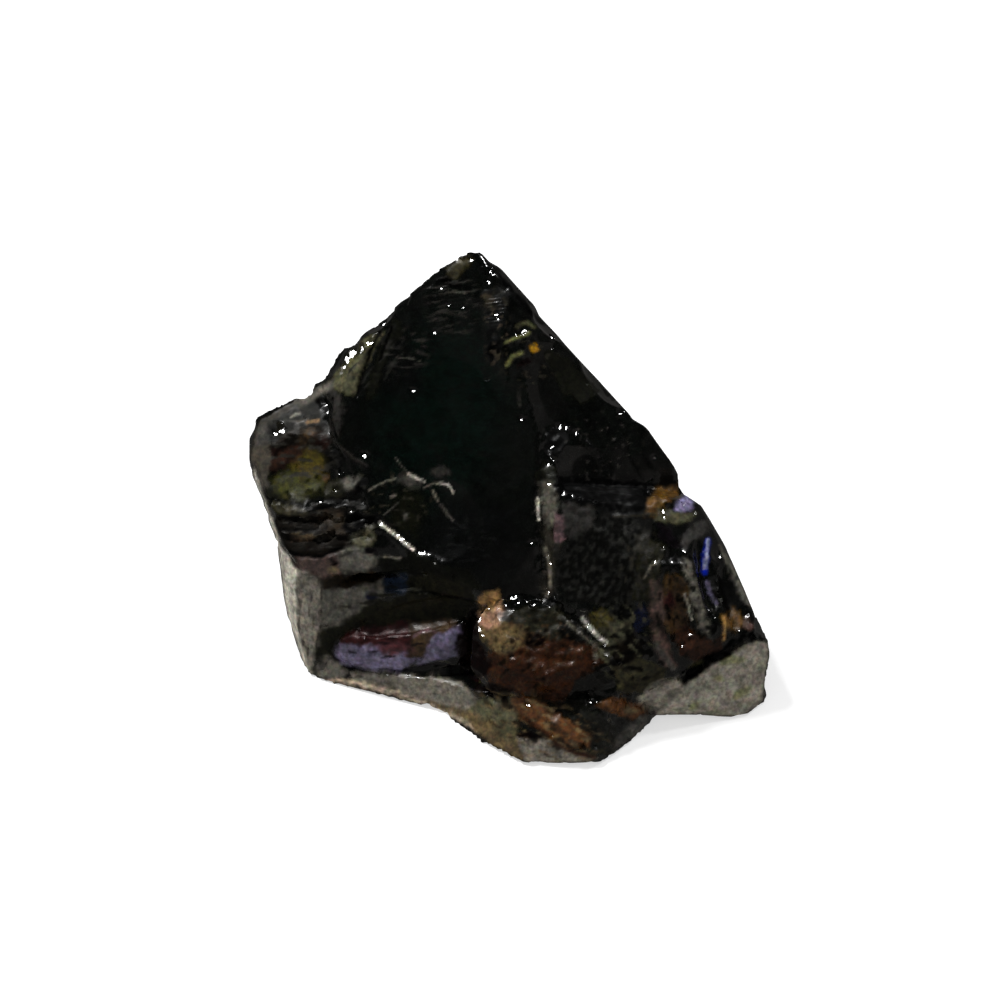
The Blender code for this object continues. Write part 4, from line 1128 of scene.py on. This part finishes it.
# Each fine streak, some of them painted highlights and painted shadows where marked: its route on the
# front, its width in mm, its colour and its make
STREAKS = {
    "ripple_upper": (((447, 293), (457, 291), (466, 293)), 0.1, GREY, 0.2, 0.2),
    "ripple_middle": (((446, 313), (456, 314), (467, 317)), 0.1, DIM_GREY, 0.2, 0.2),
    "ripple_lower": (((396, 357), (408, 358), (420, 361)), 0.1, GREY, 0.2, 0.2),
    "shoulder_crack": (((380, 330), (370, 352), (362, 375), (357, 396)), 0.2, PITCH, 0.3, 0.2),
    "shoulder_crack_inner": (((392, 326), (385, 345), (380, 360)), 0.14, PITCH, 0.3, 0.2),
    # painted shadow where the main face overhangs the lobe
    "lobe_seam_painted_shadow": (((333, 398), (332, 420), (337, 440)), 0.16, PITCH, 0.2, 0.2),
    "lobe_seam_light": (((332, 440), (345, 450), (354, 459), (366, 465)), 0.18, DIM_GREY, 0.3, 0.4),
    "lobe_fold": (((290, 416), (299, 412), (308, 420)), 0.12, PITCH, 0.3, 0.3),
    "olive_dash_high": (((517, 326), (527, 322), (534, 327)), 0.24, GREY_OLIVE, 0.3, 0.3),
    "olive_dash_upper": (((506, 343), (517, 338), (529, 333)), 0.2, KHAKI, 0.3, 0.3),
    "olive_dash_lower": (((507, 365), (512, 357), (522, 353)), 0.22, KHAKI, 0.3, 0.3),
    "ridge_scratch": (((519, 392), (520, 406)), 0.14, DIM_GREY, 0.3, 0.3),
    "ridge_arc": (((525, 412), (531, 405), (541, 407)), 0.14, SLATE, 0.3, 0.3),
    "arc_low": (((586, 440), (598, 454), (607, 470)), 0.2, SMOKE, 0.3, 0.3),
    "lobe_rim_pale": (((262, 422), (280, 413), (300, 403)), 0.35, MUD, 0.8, 0.4),
    "lobe_rim_cream": (((300, 403), (316, 394), (330, 386)), 0.5, ASH, 0.8, 0.4),
    "hackle_bright": (((409, 474), (416, 478), (424, 482)), 0.15, LIMESTONE, 0.3, 0.2),
    "hackle_faint": (((396, 458), (401, 465), (406, 472)), 0.1, GREY, 0.35, 0.3),
    "hackle_arm": (((378, 485), (386, 481), (396, 479)), 0.11, ASH, 0.35, 0.3),
    "hackle_stub": (((369, 490), (376, 487)), 0.14, ASH, 0.35, 0.3),
    "hackle_scratch": (((384, 515), (392, 508), (398, 503)), 0.1, GREY, 0.3, 0.3),
    "fan_left": (((424, 488), (430, 485), (437, 483)), 0.1, ASH, 0.35, 0.3),
    "fan_edge": (((437, 484), (443, 483), (449, 485), (453, 493)), 0.12, LIMESTONE, 0.35, 0.3),
    "fan_low": (((433, 490), (436, 496), (438, 502)), 0.12, PALE_ASH, 0.35, 0.3),
    "thread": (((441, 505), (447, 513), (453, 520)), 0.15, GREY, 0.35, 0.3),
    "thread_end": (((455, 522), (466, 529)), 0.12, SLATE, 0.3, 0.3),
    "strata_dark_high": (((304, 509), (320, 508), (336, 505), (350, 500)), 0.2, PITCH, 0.5, 0.3),
    "strata_dark_middle": (((282, 530), (305, 530), (326, 528)), 0.2, PITCH, 0.5, 0.3),
    "strata_dark_under": (((291, 540), (312, 539)), 0.16, BARK, 0.5, 0.3),
    "strata_dark_low": (((290, 552), (300, 556), (322, 556), (342, 548)), 0.26, PITCH, 0.5, 0.3),
    "lobe_pale_high": (((292, 417), (299, 413)), 0.18, PALE_ASH, 0.5, 0.3),
    "lobe_pale_low": (((295, 422), (303, 421), (306, 424)), 0.16, TAUPE, 0.5, 0.3),
    "lobe_pale_right": (((308, 422), (318, 421)), 0.22, SAND, 0.5, 0.3),
    # painted highlight along the lip, beside the glint facets carved there
    "lip_painted_highlight": (((380, 523), (390, 531), (401, 540), (413, 549)), 0.14, PAINTED_HIGHLIGHT_WHITE, 0.4, 0.3),
    "under_lip_pale": (((384, 557), (400, 558)), 0.16, PALE_ASH, 0.3, 0.3),
    "overhang_edge": (((322, 590), (350, 588), (372, 583), (386, 576)), 0.1, GREY, 0.3, 0.3),
    "hollow_edge": (((408, 592), (430, 593), (472, 600)), 0.2, SOOT, 0.3, 0.3),
    "scar_line": (
        ((333, 656), (345, 667), (362, 670), (402, 671), (425, 665), (442, 664), (462, 670), (480, 681)),
        0.16, DARK_VIOLET, 0.3, 0.0,
    ),
    "scar_pink": (((414, 636), (425, 630), (436, 632)), 0.2, ROSE, 0.3, 0.3),
    "pillar_edge": (((321, 580), (321, 620), (316, 650)), 0.12, MUD, 0.3, 0.3),
    # painted reflection of the floor along the edge of the side strip
    "strip_edge_painted_floor_reflection": (((296, 570), (294, 590), (295, 612), (298, 640), (307, 672)), 0.12, LIMESTONE, 0.3, 0.3),
    "toe_band_shade": (((520, 717), (545, 731), (557, 745), (574, 753), (594, 758)), 0.26, RUST, 0.4, 0.4),
    "toe_slit_line": (((519, 737), (529, 734), (541, 737)), 0.3, MAROON, 0.5, 0.3),
    "knob_gap": (((482, 606), (494, 604), (503, 600)), 0.14, ROSE, 0.3, 0.2),
    "valley_glint": (((582, 618), (592, 630), (606, 643)), 0.2, PAINTED_HIGHLIGHT_WHITE, 0.25, 0.2),
    "valley_pale": (((568, 622), (582, 635), (596, 645)), 0.22, ASH, 0.3, 0.4),
    "valley_stub": (((594, 646), (596, 660)), 0.2, PALE_ASH, 0.3, 0.4),
    # painted highlights along the flank's left edge and lower edge
    "flank_left_painted_highlight": (((538, 498), (539, 520)), 0.16, PAINTED_HIGHLIGHT_WHITE, 0.25, 0.2),
    "flank_low_painted_highlight": (((546, 548), (550, 566), (550, 585), (547, 596)), 0.2, PALE_ASH, 0.25, 0.3),
    "foot_ledge": (((614, 516), (635, 516), (656, 514)), 0.14, MUD, 0.3, 0.3),
    "rib_tip": (((644, 578), (650, 566), (656, 562)), 0.16, PALE_ASH, 0.3, 0.3),
    "rib_tail": (((656, 645), (664, 656), (673, 668)), 0.3, GREY, 0.35, 0.4),
    "flute_dash": (((684, 594), (688, 606), (692, 620)), 0.15, PALE_STONE, 0.25, 0.2),
    "blue_streak": (((708, 541), (706, 555), (704, 572)), 0.32, BLUE, 0.2, 0.0),
    # painted highlight down the middle of the blue tarnish streak
    "blue_core_painted_highlight": (((708, 540), (707, 552), (705, 568)), 0.18, PAINTED_HIGHLIGHT_ICE, 0.2, 0.0),
    "blue_tail": (((707, 582), (710, 592), (716, 603)), 0.2, LILAC, 0.25, 0.0),
    "fleck_column": (((724, 617), (725, 628), (724, 640)), 0.18, SAND, 0.25, 0.2),
    # painted shade along the crack above the heel
    "heel_line": (((684, 677), (700, 668), (730, 649), (754, 635)), 0.4, PITCH, 0.3, 0.0),
}


# Fine rings of a shell-shaped break: middle, reach, the point they spread from, pitch in mm, height
RIPPLES = {
    "under_the_peak": ((457, 305), 1.5, (-5.5, 38.0), 0.3, 0.5),
    "left_of_the_peak": ((436, 335), 0.9, (-5.5, 38.0), 0.3, 0.5),
    "by_the_shoulder": ((408, 352), 1.6, (-6.5, 38.0), 0.32, 0.3),
    "upper_ridge": ((495, 312), 1.4, (-3.0, 38.0), 0.28, 0.5),
}


# ---- painting ----


GLASS_MAKE = (0.0, 0.1, 0.12)            # how metallic, how dull and how grainy clean glass is
STREAK_BEND = 0.3                        # how much of the bend in other borders a streak takes
BEND = 0.6                               # how far borders wander, in mm
BEND_LUMPS = ((1.1, 0.5), (0.4, 0.4))    # the size in mm and the share of the lumps that they follow
BEND_LEAST = 0.2                         # the share of the bend left where the stone turns from the eye
WORN_LUMPS = ((0.42, 1.0), (1.3, 0.6))   # the same for where paint is worn
WORN_THROUGH, WORN_NOWHERE = -0.75, 0.1  # where in the noise the paint is thinnest, and where it is whole
WORN_LEAST = 0.2                         # the share of the paint that is left where it is thinnest
FRONT_PAINT_LEAN = -0.1                  # faces that turn further from the eye take no front paint
FLECK_COVER = 0.85
FLECK_EDGE = 0.15                        # how far below its cover a fleck starts
FLECK_RIM = 0.6                          # how far out in their oval the flecks start to thin
WEATHER_NOISE = (0.7, 2.0, 4)            # how rough the noise under the tarnish behind is, in four layers
SOFT = 0.35                              # how softly flecks and tarnish come in
SPOT_BORDER = (0.45, 1.2)                # where a spot starts to thin and where it ends
FACET_BORDER = (-0.25, 0.2)              # from where it starts to where it is whole, in mm inside its line
LEVEL_RISE = 1e-9                        # stands in for the rise of a level side, which has none
STREAK_SIDES = 1.15                      # how wide a streak fades out, as a share of its width
STREAK_LEAST = 0.3                       # the share of a streak that isn't worn off
POLISH_REACH = 0.8                       # how much of a glint is clean glass
POLISH_BORDER = (0.8, 1.3)               # where that starts to thin and where it ends


class Coat:
    """The stone's colour and make, painted point by point: how metallic, how dull, how grainy."""

    def __init__(self, skin):
        self.skin = skin
        gap = (skin.points - np.array(FRONT_MIDDLE)) / MM
        facing = skin.ways @ -np.array(AWAY)
        noisy = squashed(skin.points, PAINT_SQUASH)
        bend = np.array([
            sum((noise.noise_vector(Vector(p) / (size * MM)) * part for size, part in BEND_LUMPS), Vector())
            for p in noisy
        ])
        bend = bend * BEND * np.clip(facing, BEND_LEAST, 1.0)[:, None]
        self.flat_across = gap @ np.array(ACROSS)
        self.flat_up = gap @ np.array(UP)
        self.bend_across, self.bend_up = bend[:, 0], bend[:, 1]
        self.across = self.flat_across + self.bend_across
        self.up = self.flat_up + self.bend_up
        self.ahead = (facing > FRONT_PAINT_LEAN) & [self.in_sight(Vector(p)) for p in skin.points]
        worn = [
            sum(noise.noise(Vector(p) / (size * MM)) * share for size, share in WORN_LUMPS) for p in noisy
        ]
        whole = smooth(np.array(worn), WORN_THROUGH, WORN_NOWHERE)
        self.worn = whole * (1 - WORN_LEAST) + WORN_LEAST
        self.tint = np.tile(np.array(GLASS[0][:3]), (len(gap), 1))
        self.make = np.tile(np.array(GLASS_MAKE), (len(gap), 1))

    def in_sight(self, point):
        """Whether the eye sees a point, or sees the stone just in front of it."""
        way = point - EYE
        gap = self.skin.tree.ray_cast(EYE, way.normalized())[3]
        return gap is None or way.length - gap < HIDDEN_DEPTH

    def weather(self, size, cover, *finish):
        """Lays tarnish in lumps of some millimetres over what the eye doesn't see."""
        hidden = np.nonzero(~self.ahead)[0]
        offset = Vector((size, cover, 0)) * 9
        places = [Vector(self.skin.points[i]) / (size * MM) + offset for i in hidden]
        lumps = [noise.fractal(place, *WEATHER_NOISE) for place in places]
        share = np.zeros(len(self.ahead))
        share[hidden] = smooth(np.array(lumps), cover, cover + SOFT) * FLECK_COVER
        self.blend(share, *finish)

    def placed(self, mark):
        """How many millimetres across and up the front a mark lies."""
        gap = (self.skin.spot(mark) - FRONT_MIDDLE) / MM
        return gap @ ACROSS, gap @ UP

    def lay(self, share, finish, dull, grain):
        """Lays a finish over what is there, by the share at each point."""
        self.blend(share * self.ahead, finish, dull, grain)

    def blend(self, share, finish, dull, grain):
        """Blends a finish in, on every side of the stone."""
        tint, metal = finish
        share = share[:, None]
        self.tint += (np.array(tint[:3]) - self.tint) * share
        self.make += (np.array((metal, dull, grain)) - self.make) * share

    def along_and_over(self, mark, turn, across, up):
        """How far each point lies from a mark, along a turned line and square to it."""
        place = self.placed(mark)
        c, s = turned(turn)
        across, up = across - place[0], up - place[1]
        return across * c + up * s, up * c - across * s

    def spot(self, mark, size, turn, *finish):
        """Lays an oval spot with a soft border."""
        along, over = self.along_and_over(mark, turn, self.across, self.up)
        far = np.hypot(along / size[0], over / size[1])
        self.lay((1 - smooth(far, *SPOT_BORDER)) * self.worn, *finish)

    def fleck(self, mark, size, turn, lump, cover, *finish):
        """Scatters flecks of another finish over an oval part."""
        along, over = self.along_and_over(mark, turn, self.flat_across, self.flat_up)
        far = np.hypot(along / size[0], over / size[1])
        near = np.nonzero(far < 1)[0]
        share = np.zeros(len(far))
        lumps = [noise.noise(Vector((along[i] / lump[0], over[i] / lump[1], size[0] * 3))) for i in near]
        flecks = smooth(np.array(lumps) * NOISE_LIFT, cover - FLECK_EDGE, cover + SOFT)
        share[near] = flecks * smooth(far[near], 1, FLECK_RIM)
        self.lay(share * FLECK_COVER, *finish)

    def side_gap(self, start, end, bend=1.0):
        """How far each point lies from a straight side between two places, bent a little."""
        run = np.subtract(end, start)
        across = self.flat_across + self.bend_across * bend - start[0]
        up = self.flat_up + self.bend_up * bend - start[1]
        share = np.clip((across * run[0] + up * run[1]) / (run @ run), 0, 1)
        return np.hypot(across - run[0] * share, up - run[1] * share)

    def route_gap(self, route, bend=1.0):
        """How far each point lies from a line through several places."""
        return np.minimum.reduce([self.side_gap(*ends, bend) for ends in zip(route, route[1:])])

    def facet(self, marks, *finish):
        """Fills an outline. A duller finish hides more of what is worn."""
        outline = [self.placed(mark) for mark in marks]
        outline.append(outline[0])
        gap = self.route_gap(outline)
        inside = np.zeros(len(gap), bool)
        for start, end in zip(outline, outline[1:]):
            level = (start[1] > self.up) != (end[1] > self.up)
            rise = (end[1] - start[1]) or LEVEL_RISE
            inside ^= level & (self.across < start[0] + (end[0] - start[0]) * (self.up - start[1]) / rise)
        evenness = finish[1]
        cover = self.worn + (1 - self.worn) * evenness
        self.lay(smooth(np.where(inside, gap, -gap), *FACET_BORDER) * cover, *finish)

    def streak(self, marks, width, *finish):
        """Draws a fine line with soft sides."""
        gap = self.route_gap([self.placed(mark) for mark in marks], STREAK_BEND)
        cover = self.worn * (1 - STREAK_LEAST) + STREAK_LEAST
        self.lay((1 - smooth(gap, 0.0, width * STREAK_SIDES)) * cover, *finish)

    def polish(self, mark, reach):
        """Leaves a little round break as clean glass, in the colour it has."""
        place = self.placed(mark)
        gap = np.hypot(self.flat_across - place[0], self.flat_up - place[1])
        thin, gone = POLISH_BORDER
        share = (1 - smooth(gap, reach * thin, reach * gone))[:, None]
        self.make += (np.array(GLASS_MAKE) - self.make) * share

    def store(self, mesh):
        """Keeps the colour and the make as attributes that the finish reads."""
        grey = self.tint.mean(axis=1)[:, None]
        self.tint = np.maximum(grey + (self.tint - grey) * RICHNESS, 0)
        for name, values in (("tint", self.tint), ("make", self.make)):
            kept = mesh.attributes.new(name, "FLOAT_COLOR", "POINT")
            kept.data.foreach_set("color", np.column_stack([values, np.ones(len(values))]).ravel())


def painted(skin):
    """Paints the stone, from the weathering behind to the finest streaks in front, painted floor
    reflections, highlights and shade among them.
    """
    coat = Coat(skin)
    for brush, rows in (
        (coat.weather, WEATHER), (coat.spot, STAINS), (coat.facet, FACETS),
        (coat.spot, SPOTS), (coat.fleck, FLECKS), (coat.streak, STREAKS),
    ):
        for row in rows.values():
            brush(*row)
    for mark, reach in GLINTS:
        coat.polish(mark, reach * POLISH_REACH)
    coat.store(skin.mesh)


MOTTLE_SPAN = (0.32, 0.68)               # the part of the cloudy noise that the mottle is made from
BROAD_MOTTLE = (1.0, 0.66, 1.18)         # its lumps in mm, and how dark and how light it goes
CLOSE_MOTTLE = (0.28, 0.72, 1.28)
HUE_LUMP, HUE_SHARE = 0.45, 0.5          # the lumps in mm of the drift in hue, and how strong it is
PIMPLE, DENT, DENT_SHARE = 0.16, 0.6, 0.25          # the fine relief: lumps in mm, and the dents' share
RELIEF = 0.03 * MM
DULL_ENDS_GLOSS, GLOSS = 0.34, 0.2       # how dull a place is where the gloss ends, and where it is full


def mottle(finish, where, size, darkest, lightest):
    return finish.ramp(finish.cloud(where, size, 3.0), *MOTTLE_SPAN, darkest, lightest)


def shungite(skin):
    """Black glassy shungite, with tarnish colours where old breaks have weathered, and the painted floor
    reflections, highlights and shade that its painted tint carries.
    """
    finish = Finish("shungite", IOR=1.5, Coat_IOR=1.7, Coat_Roughness=0.06)
    seen = finish.node("ShaderNodeTexCoord", out="Object")
    depth = finish.vector("DOT_PRODUCT", seen, AWAY * PAINT_SQUASH, "Value")
    where = finish.vector("SUBTRACT", seen, finish.scaled(AWAY, depth))
    make = finish.painted_on("make")
    metal, rough, grainy = [finish.part_of(make, part) for part in ("Red", "Green", "Blue")]
    shade = mottle(finish, where, *BROAD_MOTTLE) * mottle(finish, where, *CLOSE_MOTTLE)
    drift = finish.vector("ADD", finish.cloud(where, HUE_LUMP, 2.0, "Color"), (0.5, 0.5, 0.5))
    hue = finish.blend_arrows((1.0, 1.0, 1.0), drift, HUE_SHARE)
    colour = finish.vector("MULTIPLY", finish.scaled(finish.painted_on("tint"), shade), hue)
    height = finish.cloud(where, PIMPLE, 4.0) * grainy + finish.cloud(where, DENT, 2.0) * DENT_SHARE
    for mark, size, source, pitch, strength in RIPPLES.values():
        far = finish.vector("DISTANCE", seen, skin.spot(mark), "Value")
        gap = finish.vector("DISTANCE", seen, front(*source), "Value")
        wave = finish.node("ShaderNodeMath", {"operation": "SINE"}, {0: gap * (2 * math.pi / (pitch * MM))})
        height = height + wave * finish.ramp(far, size * MM, size * 0.4 * MM) * strength
    normal = finish.node("ShaderNodeBump", {}, {"Height": height, "Distance": RELIEF, "Strength": 1.0})
    glassy = finish.ramp(rough, DULL_ENDS_GLOSS, GLOSS)
    finish.feed(finish.shader, {
        "Base Color": colour, "Metallic": metal, "Roughness": rough,
        "Coat Weight": glassy, "Normal": normal,
    })
    return finish.material


# ---- the stone ----


CARVING = (
    carve_bulges, carve_peak, carve_main_face, carve_right_face, carve_foot, carve_flutes,
    carve_knob, carve_lobe, carve_steps, carve_toe, carve_heel, carve_glints,
)


def carved(stone):
    """Carves the stone, from broken edges to glints, and keeps it inside the CAD stone's box."""
    skin = Skin(stone.data)
    worn_edges(skin)
    back_flakes(skin)
    skin.refresh()
    for carve in CARVING:
        carve(skin)
        skin.refresh()
    ruffled_all_over(skin)
    skin.points = np.clip(skin.points, np.array(cad_low), np.array(cad_high))
    skin.refresh()
    stone.data.shade_smooth()
    stone.data.set_sharp_from_angle(angle=SHARP_ANGLE)
    return skin


stone = fine_copy("shungite_lump")
skin = carved(stone)
painted(skin)
stone.data.materials.clear()
stone.data.materials.append(shungite(skin))
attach(stone, "root")
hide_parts(STONE_NODE)


# ---- the floor, the lamps, the room and the eye ----


FLOOR_SIZE = 2.0                         # half its width, in metres
FLOOR_GLOW = 0.55
FLOOR_MIRRORED = (0.06, 0.058, 0.055, 1)            # how the stone's gloss sees the floor


def make_floor():
    """A plain pale floor, which stays dark in the stone's reflections."""
    bm = bmesh.new()
    bmesh.ops.create_grid(bm, x_segments=1, y_segments=1, size=FLOOR_SIZE)
    mesh = bpy.data.meshes.new("floor")
    bm.to_mesh(mesh)
    bm.free()
    floor = bpy.data.objects.new("floor", mesh)
    bpy.context.scene.collection.objects.link(floor)
    finish = Finish(
        "floor", Base_Color=(0.5, 0.5, 0.5, 1), Roughness=0.9,
        Emission_Color=(1, 1, 1, 1), Emission_Strength=FLOOR_GLOW,
    )
    pale = Wire(finish, finish.shader.outputs[0])
    dark = finish.node("ShaderNodeEmission", {}, {0: FLOOR_MIRRORED})
    either = finish.node("ShaderNodeMixShader", {}, {0: finish.is_ray("Glossy"), 1: pale, 2: dark})
    finish.feed(finish.tree.nodes["Material Output"], {0: either})
    mesh.materials.append(finish.material)


# Each lamp: azimuth, elevation, how far off and how wide it is in metres, and its power in watts
LAMPS = {
    "key": (KEY_AZIMUTH, KEY_ELEVATION, 0.6, 0.12, 3.5),
    "second": (120, 50, 0.6, 0.08, 1.0),
}
LAMP_TARGET = Vector((0, 0, 0.012))


def make_lamp(name, azimuth, elevation, distance, size, power):
    light = bpy.data.lights.new(name, "AREA")
    light.shape = "DISK"
    light.size = size
    light.energy = power
    holder = bpy.data.objects.new(name, light)
    way = direction(azimuth, elevation)
    holder.location = LAMP_TARGET + way * distance
    holder.rotation_mode = "QUATERNION"
    holder.rotation_quaternion = way.to_track_quat("Z", "Y")
    bpy.context.scene.collection.objects.link(holder)


# How light the room is in the stone's reflections, from below to straight above
ROOM_SHADES = (
    (0.0, (0.06, 0.057, 0.054, 1)),
    (0.12, (0.055, 0.052, 0.049, 1)),
    (0.3, (0.03, 0.028, 0.027, 1)),
    (0.5, (0.011, 0.012, 0.011, 1)),
    (1.0, (0.005, 0.006, 0.005, 1)),
)
ROOM_CLOUDS = 2.6                        # how close the clouds in these shades stand
CLOUD_SPAN, CLOUD_SHADES = (0.35, 0.65), (0.2, 1.7)
ROOM_LIGHT = (0.55, 0.55, 0.55, 1)       # what falls on the stone evenly
BACKDROP = (0.93, 0.93, 0.93, 1)         # what the eye sees behind it


def make_room():
    """A dim uneven room for the reflections, with even light on the stone and a plain pale backdrop."""
    world = bpy.data.worlds.new("room")
    bpy.context.scene.world = world
    world.use_nodes = True
    room = Wiring(world.node_tree)
    way = room.node("ShaderNodeTexCoord", out="Generated")
    height = room.node("ShaderNodeSeparateXYZ", {}, {0: way}, "Z")
    shade = room.node("ShaderNodeValToRGB", {}, {0: height})
    stops = shade.socket.node.color_ramp.elements
    stops[0].color = ROOM_SHADES[0][1]
    stops[1].color = ROOM_SHADES[-1][1]
    for position, colour in ROOM_SHADES[1:-1]:
        stops.new(position).color = colour
    clouds = room.node("ShaderNodeTexNoise", {}, {"Vector": way, "Scale": ROOM_CLOUDS, "Detail": 3.0})
    uneven = room.scaled(shade, room.ramp(clouds, *CLOUD_SPAN, *CLOUD_SHADES, "LINEAR"))
    light = room.blend(uneven, ROOM_LIGHT, room.is_ray("Diffuse"))
    sight = room.blend(light, BACKDROP, room.is_ray("Camera"))
    room.feed(room.tree.nodes["Background"], {0: sight})


def make_eye():
    """The camera, which looks down on the stone from in front."""
    camera = bpy.data.cameras.new("camera")
    camera.lens = LENS
    camera.sensor_width = LENS_WIDTH
    camera.clip_start = 0.01
    eye = bpy.data.objects.new("camera", camera)
    eye.location = EYE
    eye.rotation_mode = "QUATERNION"
    eye.rotation_quaternion = AWAY.to_track_quat("-Z", "Y")
    bpy.context.scene.collection.objects.link(eye)
    bpy.context.scene.camera = eye


make_floor()
for name, lamp in LAMPS.items():
    make_lamp(name, *lamp)
make_room()
make_eye()
bpy.context.scene.view_settings.view_transform = "Standard"
